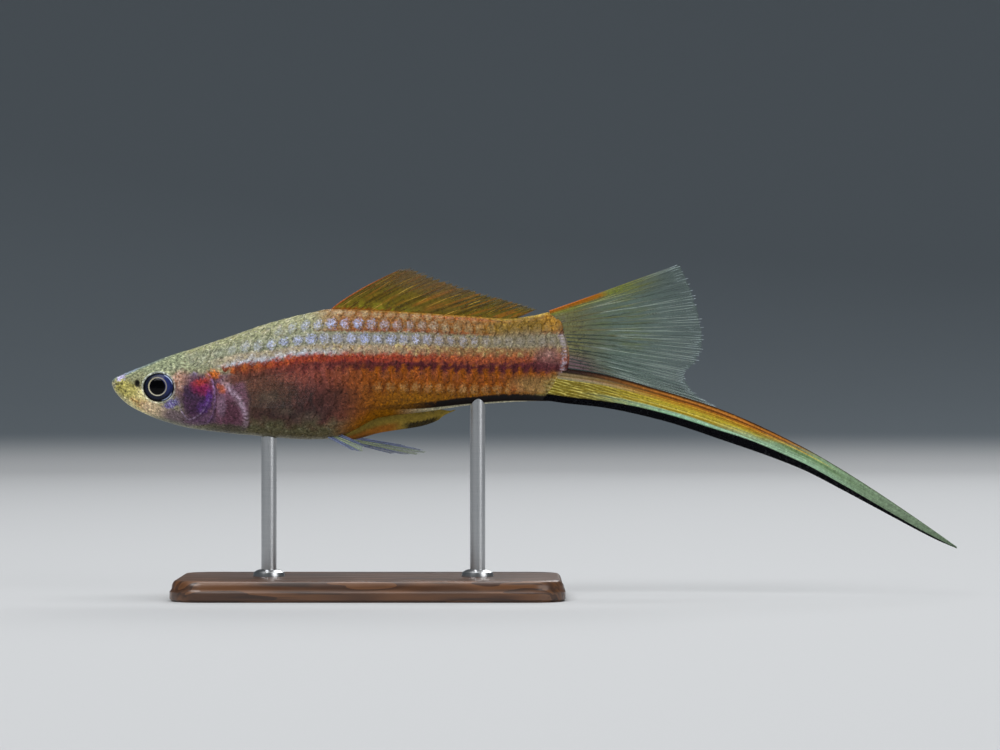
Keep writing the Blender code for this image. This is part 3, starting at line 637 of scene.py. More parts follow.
def snout_paint(x, z, depth, height, mark, fine, speck):
    """Crown, snout and jaws, by the depth below the crown and the height over the throat.
    A pale lilac painted highlight lies on the upper lip, and pale blue painted highlights
    run along the top edge of snout and forehead.
    """
    flecks = ((0.50, -0.34), (1.52, -0.22), (1.0, -0.30), (2.2, 0.55), (2.0, -1.3))
    level = height / (depth + height)
    crown = soft(0.5, 0.8, level) * 0.6
    return coats(
        (152, 148, 110),
        ((136, 144, 112), soft(0.55, 0.85, level)),
        ((186, 190, 150), soft(0.15, 0.45, fine) * crown),
        ((92, 96, 78), soft(0.15, 0.5, -fine - 0.3 * speck) * crown * soft(2, 5, x)),
        # painted highlight: pale blue-grey along the top edge of snout and forehead
        ((120, 138, 140), fade(0.05, 0.5, depth) * fade(4.5, 10.0, x) * 0.75),
        ((246, 232, 170), mark(4.3, -2.7, 3.1, 1.5, -35) * 0.95),
        ((178, 168, 88), mark(2.2, -0.9, 1.9, 1.25, -30) * 0.85),
        ((134, 132, 96), mark(3.6, 0.6, 1.6, 0.7, 20) * 0.6),
        # painted highlight: pale lilac on the upper lip
        ((204, 196, 232), mark(1.35, 0.62, 0.75, 0.34, 32, 0.25) * 0.95),
        # painted highlight: lilac-blue along the top edge of the snout
        ((132, 144, 170), mark(2.8, 1.62, 1.3, 0.24, 26) * 0.7),
        ((206, 198, 148), fade(0.12, 0.55, height) * fade(3.6, 5.6, x) * 0.85),
        ((206, 198, 160), mark(0.25, -0.25, 0.4, 0.5) * 0.8),
        *[((62, 58, 42), daub(x, z, *at, 0.20, 0.15, 0, 0.7) * 0.75) for at in flecks])


def add_cheek(colour, x, z, height, mark, fine, speck):
    """Cheek with its rusty flecks, throat, and the rosy patch behind the eye."""
    flecks = ((3.2, -2.5), (3.7, -2.85), (4.4, -3.1), (5.0, -3.55), (5.6, -3.35), (4.9, -2.75),
              (6.2, -3.65), (4.1, -3.5))
    rosy = daub(x, z, 10.2, -0.2, 1.7, 1.9, 0, 0.5)
    return coats(
        colour,
        ((216, 184, 116), mark(4.6, -3.35, 2.0, 0.75, -30) * 0.7),
        *[((146, 94, 30), mark(*at, 0.30, 0.18 + 0.03 * (number % 3), -30, 0.6) * 0.8)
          for number, at in enumerate(flecks)],
        ((222, 196, 160), mark(6.4, -4.0, 2.2, 1.0, -20) * 0.85),
        ((112, 92, 106), mark(9.3, -5.0, 2.2, 1.1, -16, 0.5) * 0.85),
        ((116, 118, 100), fade(0.15, 0.9, height) * soft(4.5, 7.0, x) * 0.8),
        ((182, 134, 114), mark(10.2, -0.3, 1.6, 1.8) * 0.88),
        ((200, 172, 158), daub(x, z, 10.1, -0.2, 1.7, 1.9, 0, 0.5) * soft(0.1, 0.4, fine) * 0.75),
        ((98, 68, 60), rosy * soft(0.1, 0.5, -fine - 0.2 * speck) * 0.4),
        ((120, 108, 82), daub(x, z, 13.6, 3.4, 3.6, 1.7, 18, 0.5) * soft(-0.1, 0.4, -fine) * 0.7),
        ((176, 158, 206), mark(12.1, 1.0, 0.42, 0.32) * 0.85),
        ((104, 82, 90), mark(9.6, -1.9, 0.7, 1.2, 15) * 0.65),
        ((106, 92, 158), mark(8.7, -3.1, 1.15, 0.62, 20) * 0.9),
        ((190, 196, 214), daub(x, z, 8.9, -3.0, 1.0, 0.6, 20, 0.5) * soft(0.2, 0.4, speck) * 0.8))


def add_gill_cover(colour, x, z, height, mark):
    """The gill cover, over a plum ground that turns brown behind the girdle, and the plum flesh
    of the shoulder in front of the girdle's pale arc."""
    ground = coats((108, 78, 92), ((80, 60, 52), soft(18.0, 19.5, x)))
    shoulder = mark(17.2, -2.9, 2.6, 3.9, -6, 0.2) * soft(14.9, 15.3, x)
    return coats(
        colour,
        (ground, soft(9.5, 12.0, x) * fade(0.6, 1.8, z) * soft(0.4, 1.4, height)),
        ((68, 42, 70), mark(12.3, -2.7, 2.35, 2.6, 5) * 0.95),
        ((58, 42, 66), mark(11.4, -1.5, 0.9, 1.1, 30) * 0.7),
        ((92, 66, 92), mark(12.8, -5.5, 2.4, 0.7, 8) * 0.8),
        ((134, 36, 78), mark(13.2, -0.8, 1.5, 0.95, -12, 0.6) * 0.9),
        ((172, 62, 46), mark(13.2, 0.05, 1.2, 0.45, 14, 0.6) * 0.8),
        ((84, 40, 126), mark(14.1, -2.4, 0.52, 1.25, -10, 0.6) * 0.75),
        ((84, 50, 112), mark(13.3, -3.6, 0.8, 1.0, -35) * 0.75),
        ((118, 78, 96), shoulder * 0.92),
        ((84, 48, 62), mark(17.3, -4.3, 1.5, 1.6) * 0.8),
        ((150, 128, 152), mark(15.9, -3.4, 0.7, 1.5) * 0.35),
        ((190, 160, 168), mark(16.7, -0.1, 0.75, 0.9) * 0.7),
        ((82, 80, 66), mark(16.6, -6.7, 3.4, 0.7, -4) * 0.85),
        ((206, 108, 28), mark(14.8, 1.1, 0.9, 0.6, 0, 0.6) * 0.9),
        ((190, 96, 52), mark(16.0, -0.9, 0.75, 0.55, -40) * 0.7),
        ((104, 62, 40), mark(17.8, 0.4, 1.6, 0.75, 10) * 0.8))


def add_head_lines(colour, x, z, fine):
    """The pale lines of gill cover and girdle, the pale ring of the orbit, painted brighter towards its top
    as a painted highlight, and the nostril, painted dark as painted shade in its pit.
    """
    for line, paint, width, strength in (
        (PREOPERCLE, (180, 160, 190), 0.10, 0.66),
        (OPERCLE_EDGE, (164, 130, 190), 0.12, 0.6),
        (GIRDLE, (206, 182, 204), 0.36, 0.80),
    ):
        off, share = from_line(line, x, z)
        ends = within(0.10, 0.92, share, 0.10) * (1 - 0.55 * soft(0.45, 0.85, share))
        patchy = np.clip(0.75 + 1.3 * fine, 0, 1)
        colour = coats(colour, (paint, ridge(off, width) * strength * ends * patchy))
    angle = np.arctan2(z - EYE_Z, x - EYE_X)
    # painted highlight: the orbit's pale ring is brighter towards its top
    bright = 0.50 + 0.50 * np.clip(np.cos(angle - 1.6), 0, 1)
    ring = within(0.99, 1.11, eye_reach(x, z), 0.03) * bright * np.clip(0.9 + fine, 0, 1)
    # painted shade: the nostril's pit painted near black
    nostril = daub(x, z, NOSTRIL_X, NOSTRIL_Z, 0.40, 0.56)
    return coats(colour, ((216, 222, 214), ring), ((36, 34, 32), nostril * 0.97))


def head_paint(x, y, z):
    """The ground colours of the head and the shoulder girdle."""
    depth = smooth(BODY_SECTIONS, x, 1) - z
    height = z - smooth(BODY_SECTIONS, x, 2)
    round_z = wrapped(x, y, z)
    cloud = mottle(x, round_z, 0.9, 8.0)
    fine = mottle(x, round_z, 0.42, 9.0)
    speck = mottle(x, round_z, 0.22, 10.0)
    ragged_x = x + 0.34 * fine + 0.24 * speck
    ragged_z = z + 0.34 * mottle(x, round_z, 0.42, 19.0) - 0.24 * speck

    def mark(*oval):
        return daub(ragged_x, ragged_z, *oval)

    colour = snout_paint(x, z, depth, height, mark, fine, speck)
    colour = add_cheek(colour, x, z, height, mark, fine, speck)
    colour = add_gill_cover(colour, x, z, height, mark)
    colour = add_head_lines(colour, x, z, fine)
    return colour * (1 + 0.14 * cloud + 0.40 * fine + 0.42 * speck)[..., None]


def fish_paint(x, y, z):
    """The ground colours everywhere on head and body, with the spots that the scales also carry."""
    off, _ = from_line(HEAD_END, x, z)
    behind = soft(-0.5, 0.5, off + 0.3 * mottle(x, z, 0.8, 2.0))
    colour = lay(head_paint(x, y, z), body_paint(x, y, z), behind)
    k = row_number(x, z)
    row = np.round(k)
    along = (column_number(x) - 0.5 * (row % 2)) % 1.0
    along = np.minimum(along, 1 - along) / SPOT_HALF[0]
    spot, strength = spot_paint(row, x, z)
    ragged = 0.5 * mottle(x, z, 0.42, 33.0) + 0.5 * mottle(x, z, 0.24, 34.0)
    cover = fade(0.5, 1.1, np.hypot(along, (k - row) / SPOT_HALF[1]) + ragged)
    off_stripe = np.where(x > 36.0, soft(0.5, 0.9, z - smooth(STRIPE_LEVELS, x)), 1.0)
    return lay(colour, spot, cover * strength * behind * off_stripe)


def relief(x, z):
    """How far the carved forms of the head stand out from its plain shape, in millimetres."""
    off, _ = from_line(MOUTH_LINE, x, z)
    lips = 0.035 * ridge(np.abs(off) - 0.24, 0.15)
    lift = (lips - MOUTH_DEPTH * ridge(off, 0.075)) * fade(1.15, 1.5, x)
    off, share = from_line(JAW_FOLD, x, z)
    lift -= JAW_DEPTH * ridge(off, 0.12) * fade(0.55, 0.95, share)
    lift += 0.05 * ridge(off - 0.25, 0.18) * fade(0.5, 0.9, share)

    reach = eye_reach(x, z)
    lift += 0.16 * ridge(reach - 1.075, 0.055) - 0.06 * ridge(reach - 1.28, 0.10)
    lift -= ORBIT_DEPTH * fade(0.90, 1.02, reach)
    pit = np.hypot((x - NOSTRIL_X) / 0.34, (z - NOSTRIL_Z) / 0.48)
    lift += 0.07 * ridge(pit - 1.25, 0.30) - NOSTRIL_DEPTH * fade(0.55, 1.05, pit)
    pit = np.hypot((x - NOSTRIL_X - 0.95) / 0.16, (z - NOSTRIL_Z - 0.42) / 0.20)
    lift -= 0.16 * fade(0.5, 1.1, pit)

    off, share = from_line(PREOPERCLE, x, z)
    lift += 0.07 * (ridge(off, 0.20) - ridge(off + 0.36, 0.20)) * within(0.05, 0.95, share, 0.10)
    off, share = from_line(OPERCLE_EDGE, x, z)
    flap = GILL_LIFT * soft(-0.9, -0.05, off) * fade(-0.02, 0.10, off)
    lift += (flap - GILL_DEPTH * ridge(off - 0.16, 0.15)) * within(0.06, 0.97, share, 0.08)
    off, share = from_line(GIRDLE, x, z)
    lift += (0.08 * ridge(off, 0.34) - 0.05 * ridge(off - 0.6, 0.3)) * within(0.05, 0.95, share, 0.10)
    lift += 0.010 * mottle(x, z, 0.35, 1.0)
    return lift - COAT_DEPTH * soft(-1.0, 1.0, x - 10.5 - 8.5 * fade(0.5, 2.6, z))


def outward(points, faces):
    """The faces of a closed form, turned over where they point inwards."""
    first = np.array([f[:3] for f in faces])
    rest = [(f[0], f[i], f[i + 1]) for f in faces for i in range(2, len(f) - 1)]
    corners = points[np.vstack([first, rest]) if rest else first]
    volume = np.einsum("ij,ij->i", corners[:, 0], np.cross(corners[:, 1], corners[:, 2])).sum()
    return faces if volume > 0 else [tuple(reversed(f)) for f in faces]


def make_piece(name, points, faces, finish, slot, replaces=(), colours=None):
    """A closed piece from points in the fish's millimetres, riding on the model's one body."""
    points = np.asarray(points, float)
    mesh = bpy.data.meshes.new(name)
    mesh.from_pydata(in_place(points).tolist(), [], outward(points, faces))
    if colours is not None:
        paint_on(mesh, "paint", colours)
    return finish_piece(name, mesh, finish, slot, replaces)


def put_in_scene(name, data):
    """An object for a mesh, a lamp or a camera."""
    made = bpy.data.objects.new(name, data)
    bpy.context.scene.collection.objects.link(made)
    return made


def finish_piece(name, mesh, finish, slot, replaces=()):
    """Puts a finished mesh in the scene with its material, and hides the solids that it stands for. The slot
    is not used.
    """
    mesh.shade_smooth()
    mesh.materials.clear()
    mesh.materials.append(finish)
    piece = put_in_scene(name, mesh)
    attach(piece, "root")
    if replaces:
        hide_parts(*replaces)
    return piece


def paint_on(mesh, layer, colours):
    """Colours with opacity, one for each point of a mesh."""
    colours = np.clip(np.asarray(colours, float), 0.0, 1.0)
    if colours.shape[1] == 3:
        colours = np.hstack([colours, np.ones((len(colours), 1))])
    made = mesh.attributes.new(layer, "FLOAT_COLOR", "POINT")
    made.data.foreach_set("color", colours.astype(np.float32).ravel())


def value_on(mesh, layer, values):
    """A number for each point of a mesh."""
    made = mesh.attributes.new(layer, "FLOAT", "POINT")
    made.data.foreach_set("value", np.asarray(values, np.float32))


def grid_quads(columns, rows, first=0, closed=False):
    """Faces between neighbouring lines of points. Closed joins the last point of a line to its first."""
    faces = []
    for i in range(columns - 1):
        for j in range(rows if closed else rows - 1):
            n = (j + 1) % rows
            a = first + i * rows
            faces.append((a + j, a + n, a + rows + n, a + rows + j))
    return faces


def grid_edge(columns, rows):
    """The points round the edge of a grid, in turn."""
    edge = [i * rows for i in range(columns)]
    edge += [(columns - 1) * rows + j for j in range(1, rows)]
    edge += [i * rows + rows - 1 for i in range(columns - 2, -1, -1)]
    return edge + list(range(rows - 2, 0, -1))


def closed_rings(rings):
    """Points and faces of a form built from rings of points, flat at both ends."""
    count = len(rings[0])
    last = (len(rings) - 1) * count
    faces = grid_quads(len(rings), count, closed=True)
    faces.append(tuple(range(count))[::-1])
    faces.append(tuple(range(last, last + count)))
    return np.concatenate(rings), faces


def add(tree, kind, inputs=None, **settings):
    """A node with its settings, and its inputs as values or as the sockets that feed them."""
    made = tree.nodes.new(kind)
    for key, value in settings.items():
        setattr(made, key, value)
    for key, value in (inputs or {}).items():
        if isinstance(value, bpy.types.NodeSocket):
            tree.links.new(value, made.inputs[key])
        else:
            made.inputs[key].default_value = value
    return made


def sums(tree, operation, *values, clamp=False):
    """The result of a Math node."""
    made = add(tree, "ShaderNodeMath", dict(enumerate(values)), operation=operation, use_clamp=clamp)
    return made.outputs[0]


def ramp(tree, value, low, high, start=0.0, end=1.0, smoothed=True):
    """A value carried from one range to another."""
    kind = "SMOOTHSTEP" if smoothed else "LINEAR"
    inputs = {"Value": value, "From Min": low, "From Max": high, "To Min": start, "To Max": end}
    return add(tree, "ShaderNodeMapRange", inputs, interpolation_type=kind).outputs["Result"]


def blend(tree, share, under, over, kind="MIX"):
    """Two colours mixed."""
    made = add(tree, "ShaderNodeMix", {0: share, 6: under, 7: over}, data_type="RGBA", blend_type=kind)
    return made.outputs[2]


def grain(tree, size, detail=2.0, stretch=(1.0, 1.0, 1.0), rough=0.5, distort=0.0, shift=0.0):
    """A fixed cloud in the model's own space. The size is in millimetres, the shift in metres."""
    where = add(tree, "ShaderNodeTexCoord").outputs["Object"]
    inputs = {"Vector": where, "Location": (shift, shift, shift), "Scale": stretch}
    moved = add(tree, "ShaderNodeMapping", inputs).outputs[0]
    inputs = {"Vector": moved, "Scale": 1.0 / (size * MM)}
    inputs |= {"Detail": detail, "Roughness": rough, "Distortion": distort}
    return add(tree, "ShaderNodeTexNoise", inputs).outputs["Fac"]


def attribute(tree, name, output="Color"):
    """What a mesh carries on its points."""
    return add(tree, "ShaderNodeAttribute", attribute_name=name).outputs[output]


def finish_of(name, colour, roughness, bump=None, alpha=None, **constants):
    """A Principled finish from values, or from functions that build what feeds them. A bump is
    the function of its height, its strength and its depth in millimetres."""
    made = bpy.data.materials.new(name)
    made.use_nodes = True
    tree = made.node_tree
    shader = tree.nodes["Principled BSDF"]
    for socket, value in (("Base Color", colour), ("Roughness", roughness), ("Alpha", alpha)):
        if callable(value):
            tree.links.new(value(tree), shader.inputs[socket])
        elif value is not None:
            shader.inputs[socket].default_value = value
    if bump:
        height, strength, depth = bump
        inputs = {"Height": height(tree), "Strength": strength, "Distance": depth * MM}
        tree.links.new(add(tree, "ShaderNodeBump", inputs).outputs[0], shader.inputs["Normal"])
    for socket, value in constants.items():
        shader.inputs[socket.replace("_", " ")].default_value = value
    return made


def scaled(tree, colour, share):
    """A colour made darker or lighter by a share."""
    grey = add(tree, "ShaderNodeCombineXYZ", {0: share, 1: share, 2: share}).outputs[0]
    return blend(tree, 1.0, colour, grey, "MULTIPLY")


def speckled(tree, base, strength, flecks=0.5):
    """A base colour broken up by clusters, dark grains and bright grains, as pigment cells do."""
    cluster = grain(tree, 0.42, 3.0, rough=0.75)
    colour = scaled(tree, base, ramp(tree, cluster, 0.30, 0.70, 1.0 - strength, 1.0 + strength, False))
    dark = ramp(tree, grain(tree, 0.27, 1.0), 0.54, 0.68, 1.0, 1.0 - flecks)
    colour = scaled(tree, colour, dark)
    bright = ramp(tree, grain(tree, 0.31, 1.0, shift=3.0), 0.54, 0.68, 1.0, 1.0 + 1.1 * flecks)
    return scaled(tree, colour, bright)


def painted(strength, flecks):
    """The paint on the points, broken up by pigment grains."""
    return lambda tree: speckled(tree, attribute(tree, "paint"), strength, flecks)


def clouds(*cloud):
    """A height for a bump."""
    return lambda tree: grain(tree, *cloud)


def uneven(low, high, *cloud):
    """A roughness that wanders between two values."""
    return lambda tree: ramp(tree, grain(tree, *cloud), 0.3, 0.7, low, high)


def skin_finish():
    """Painted skin under a thin lacquer."""
    return finish_of("lacquered_skin", painted(0.38, 0.50), uneven(0.38, 0.55, 0.6),
                     (clouds(0.22, 3.0), 0.30, 0.03), **LACQUER)


def scale_finish():
    """Each scale has its ground colour, a pale ragged spot in its middle and a darker free edge."""
    def colour(tree):
        where = add(tree, "ShaderNodeUVMap", uv_map="plate").outputs[0]
        inputs = {"Vector": where, "Scale": (1 / SPOT_HALF[0], 1 / SPOT_HALF[1], 0.0)}
        shape = add(tree, "ShaderNodeMapping", inputs).outputs[0]
        away = add(tree, "ShaderNodeVectorMath", {0: shape}, operation="LENGTH").outputs["Value"]
        ragged = ramp(tree, grain(tree, 0.24, 3.0, rough=0.85), 0.28, 0.72, -1.25, 1.25, False)
        away = sums(tree, "ADD", away, ragged)
        spot = add(tree, "ShaderNodeAttribute", attribute_name="spot").outputs
        share = sums(tree, "MULTIPLY", ramp(tree, away, 0.35, 1.30, 1.0, 0.0), spot["Alpha"])
        patchy = ramp(tree, grain(tree, 0.36, 2.0, rough=0.7, shift=5.0), 0.38, 0.54, 0.25, 1.15)
        share = sums(tree, "MULTIPLY", share, patchy)
        base = blend(tree, share, attribute(tree, "paint"), spot["Color"])
        edge = ramp(tree, attribute(tree, "rim", "Fac"), 0.0, 0.14, 0.91, 1.0)
        return speckled(tree, scaled(tree, base, edge), 0.38, 0.52)

    def rings(tree):
        """Growth rings across the plate, and fine grains."""
        wave = sums(tree, "SINE", sums(tree, "MULTIPLY", attribute(tree, "rim", "Fac"), 70.0))
        return sums(tree, "ADD", sums(tree, "MULTIPLY", wave, 0.08), grain(tree, 0.20, 2.0))

    return finish_of("lacquered_scale", colour, uneven(0.36, 0.52, 0.5), (rings, 0.18, 0.03), **LACQUER)


def web_finish(name, roughness=0.30, shine=0.13):
    """A thin clear web whose paint and opacity lie on its points."""
    def opacity(tree):
        return sums(tree, "MULTIPLY", attribute(tree, "paint", "Alpha"),
                    uneven(0.82, 1.12, 0.5, 2.0)(tree), clamp=True)

    return finish_of(name, painted(0.16, 0.22), roughness, (clouds(0.35, 2.0), 0.2, 0.02), opacity,
                     Coat_Weight=shine / 3, Coat_Roughness=0.2, Specular_IOR_Level=shine)


def ray_finish(name, joint_length, contrast):
    """A fin ray, made of short joints that show as light and dark beads along it."""
    def beads(tree):
        along = attribute(tree, "along", "Fac")
        wave = sums(tree, "SINE", sums(tree, "MULTIPLY", along, 2 * np.pi / joint_length))
        return sums(tree, "ADD", wave, ramp(tree, grain(tree, 0.6), 0.3, 0.7, -0.7, 0.7, False))

    def colour(tree):
        light = ramp(tree, beads(tree), -0.9, 0.9, 1.0 - contrast, 1.0 + contrast)
        return scaled(tree, attribute(tree, "paint"), light)

    return finish_of(name, colour, 0.32, (beads, 0.15, 0.03), lambda tree: attribute(tree, "paint", "Alpha"),
                     Coat_Weight=0.03, Coat_Roughness=0.2, Specular_IOR_Level=0.13)


def eye_finish():
    """A polished eye."""
    return finish_of("glass_eye", painted(0.10, 0.10), 0.14, (clouds(0.25), 0.04, 0.01),
                     Coat_Weight=0.08, Coat_Roughness=0.02, Specular_IOR_Level=0.06)


def wood_finish():
    """Dark stained walnut with its grain along the base, under a thin varnish."""
    pores = (0.7, 2.0, (0.06, 1.0, 1.0))

    def colour(tree):
        growth = sums(tree, "MULTIPLY", grain(tree, 9.0, 3.0, (0.10, 1.0, 1.0), 0.6, 0.8), 11.0)
        band = ramp(tree, sums(tree, "FRACT", growth), 0.0, 1.0)
        base = blend(tree, band, (*tint(70, 44, 28), 1.0), (*tint(112, 74, 46), 1.0))
        return blend(tree, ramp(tree, grain(tree, *pores), 0.56, 0.68, 0.0, 0.65), base,
                     (*tint(38, 24, 16), 1.0))

    return finish_of("stained_walnut", colour, uneven(0.30, 0.50, *pores),
                     (clouds(*pores), 0.35, 0.06), Coat_Weight=0.35, Coat_Roughness=0.18)


def steel_finish():
    """Steel brushed round the rod."""
    brushing = (0.05, 2.0, (0.02, 0.02, 1.0))

    def colour(tree):
        return blend(tree, ramp(tree, grain(tree, *brushing), 0.3, 0.7),
                     (*tint(192, 194, 196), 1.0), (*tint(201, 202, 203), 1.0))

    return finish_of("brushed_steel", colour, uneven(0.28, 0.32, *brushing),
                     (clouds(*brushing), 0.02, 0.01), Metallic=1.0)


def make_camera():
    """A level camera at the photograph's angle and framing."""
    lens = bpy.data.cameras.new("camera")
    lens.sensor_width = SENSOR
    lens.lens = SENSOR * CAMERA_DISTANCE / FRAME_WIDTH
    lens.clip_start = 0.01
    lens.clip_end = 20.0
    camera = put_in_scene("camera", lens)
    camera.location = Vector(in_place((CAMERA_AIM[0], -CAMERA_DISTANCE, CAMERA_AIM[1])))
    camera.rotation_euler = (np.pi / 2, 0.0, 0.0)
    bpy.context.scene.camera = camera


def make_skin():
    """One skin over head and body, carved with mouth, nostrils, orbits and gill covers."""
    places = []
    for (start, step), (end, _) in zip(RING_STEPS, RING_STEPS[1:] + [(SKIN_END, 0.0)]):
        places += list(np.arange(start, end - step / 3, step))
    x = np.array(places)[:, None]
    turn = np.linspace(-np.pi, np.pi, RING_POINTS, endpoint=False)[None, :]
    x = x - soft(56.0, SKIN_END, x) * (SKIN_END - stalk_end(skin_place(x, turn)[..., 2]))
    turn = np.broadcast_to(turn, x.shape)
    base, out = skin_place(x, turn), skin_normal(x, turn)
    points = base + out * relief(base[..., 0], base[..., 2])[..., None]

    # The front is closed over the lips, and the end of the tail's flesh along a soft edge
    centre, last = points[0].mean(axis=0), points[-1]
    front = [centre + (points[0] - centre) * r - (0.03 * (1 - r**2), 0.0, 0.0)
             for r in (0.25, 0.5, 0.7, 0.85, 0.95)]
    behind = [last * (1.0, np.sqrt(1 - t**2), 1.0) + (0.5 * t, 0.0, 0.0) for t in (0.3, 0.6, 0.85, 0.97)]
    points = np.concatenate([front, points, behind])
    rings = len(points)
    flat = np.vstack([points.reshape(-1, 3), centre - (0.03, 0.0, 0.0)])
    nose = len(flat) - 1
    faces = grid_quads(rings, RING_POINTS, closed=True)
    faces += [((k + 1) % RING_POINTS, k, nose) for k in range(RING_POINTS)]
    start = (rings - 1) * RING_POINTS
    for k in range(RING_POINTS // 2):
        c, d = start + (RING_POINTS - k - 1) % RING_POINTS, start + (RING_POINTS - k) % RING_POINTS
        faces.append(tuple(dict.fromkeys((start + k, start + k + 1, c, d))))
    faces = [f for f in faces if len(f) > 2]
    nodes = ["head", "lower_jaw", "gill_cover_left", "gill_cover_right", "trunk", "body_rear", "tail_stalk"]
    make_piece("painted_skin", flat, faces, skin_finish(), "skin", nodes, fish_paint(*flat.T))


def scale_plate():
    """One scale in its own units: along and across as shares of a scale's length and a row's
    pitch, height as a share from root to tip, and how near each point is to the free edge."""
    across = np.linspace(-1, 1, SCALE_COLUMNS)
    down = np.linspace(0, 1, SCALE_ROWS) ** 0.85
    full = SCALE_TIP - SCALE_ROOT
    drop = 1 - np.sqrt(1 - (SCALE_ROUNDNESS * across) ** 2)
    tip = SCALE_TIP - full * 0.40 * drop / (1 - np.sqrt(1 - SCALE_ROUNDNESS**2))
    root = SCALE_ROOT + 0.25 * across**2
    across = across[:, None]
    along = root[:, None] + (tip - root)[:, None] * down[None, :]
    width = across * SCALE_HALF_WIDTH * (0.80 + 0.20 * np.sin(np.pi * np.minimum(down, 0.6) / 1.2))[None, :]
    share = (along - SCALE_ROOT) / full
    rise = share - 0.42 * across**2 * (0.35 + 0.65 * share)
    to_tip = (1 - down)[None, :]
    rim = np.minimum(to_tip * 1.2, (1 - np.abs(across)) * 0.9 + to_tip * 0.25)
    return along.ravel(), width.ravel(), rise.ravel(), rim.ravel()


def plate_faces():
    """The edge of one scale, and its faces: its outer side, its rim and its flat inner side."""
    edge = grid_edge(SCALE_COLUMNS, SCALE_ROWS)
    first = SCALE_COLUMNS * SCALE_ROWS
    count = len(edge)
    faces = grid_quads(SCALE_COLUMNS, SCALE_ROWS)
    for k in range(count):
        n = (k + 1) % count
        faces.append((edge[n], first + n, first + k, edge[k]))
    faces.append(tuple(range(first, first + count)))
    return edge, faces


def scale_places(side):
    """Where the scales of one side sit: row, place along the fish, girth from the back, height."""
    for row in range(-3 if side < 0 else -2, 11):
        for column in COLUMNS:
            x = column + (0.5 * smooth(SCALE_LENGTHS, column) if row % 2 else 0.0)
            girth = float(row_girth(row, x))
            height = skin_place(np.array(x), turn_at(np.array(x), np.array(girth)))[2]
            late = x + SCALE_TIP * float(smooth(SCALE_LENGTHS, x)) > stalk_end(height) + 0.25
            on_stripe = x > 37.0 and height < smooth(STRIPE_LEVELS, x) + 0.75
            past_nape = row == -3 and x > NAPE_ROW_END
            past_belly = girth > float(np.interp(x, GIRTH_X, HALF_GIRTH)) - 0.15
            if not (x < ROW_STARTS[row] or late or on_stripe or past_nape or past_belly):
                yield row, x, girth, height


def make_scales(side, word, finish):
    """The scales of one side, as joined plates that overlap towards the tail."""
    draw = np.random.default_rng(SCALE_SEED + side)
    along, across, rise, rim = scale_plate()
    edge, faces = plate_faces()
    plate = np.stack([along, across], axis=-1)
    plate = np.vstack([plate, plate[edge]])
    rim = np.concatenate([rim, rim[edge]])
    points, all_faces, ground, spots, bake = [], [], [], [], []
    for row, place, girth, height in scale_places(side):
        size = draw.uniform(0.96, 1.05)
        pitch = ROW_PITCH * float(smooth(ROW_SPREAD, place)) * (1.0 if row > -1 else 1.12)
        x = place + draw.uniform(-0.05, 0.05) + along * float(smooth(SCALE_LENGTHS, place)) * size
        round_x = np.clip(x, GIRTH_X[0], GIRTH_X[-1])
        girths = row_girth(row, round_x) + across * pitch * size + draw.uniform(-0.04, 0.04)
        turns = side * turn_at(round_x, girths)
        skin, out = skin_place(x, turns), skin_normal(x, turns)
        lift = -COAT_DEPTH - 0.03 + SCALE_RISE * 1.25 * rise * draw.uniform(0.85, 1.15)
        inner = skin[edge] + out[edge] * (lift[edge] - SCALE_THICKNESS)[:, None]
        all_faces += [tuple(len(points) * len(plate) + i for i in f) for f in faces]
        points.append(np.vstack([skin + out * lift[:, None], inner]))
        ground.append(body_paint(*points[-1].T))
        spot, strength = spot_paint(np.full(1, row), np.full(1, place), np.full(1, height))
        spot = np.hstack([spot[0], strength * draw.uniform(0.6, 1.1)])
        spots.append(np.tile(spot, (len(plate), 1)))
        centre = np.subtract((place, girth), BAKE_START) / BAKE_SPAN
        bake.append(centre + BAKE_PATCH / (2 * SCALE_HALF_WIDTH) * plate)
    count = len(points)
    points = np.vstack(points)
    mesh = bpy.data.meshes.new("scales_" + word)
    mesh.from_pydata(in_place(points).tolist(), [], outward(points, all_faces))
    paint_on(mesh, "paint", np.vstack(ground))
    paint_on(mesh, "spot", np.vstack(spots))
    value_on(mesh, "rim", np.tile(rim, count))
    corners = np.empty(len(mesh.loops), dtype=np.int32)
    mesh.loops.foreach_get("vertex_index", corners)
    for layer, values in (("OFBake", np.vstack(bake)), ("plate", np.tile(plate, (count, 1)))):
        made = mesh.uv_layers.new(name=layer)
        made.data.foreach_set("uv", values[corners].astype(np.float32).ravel())
    finish_piece("scales_" + word, mesh, finish, "skin")


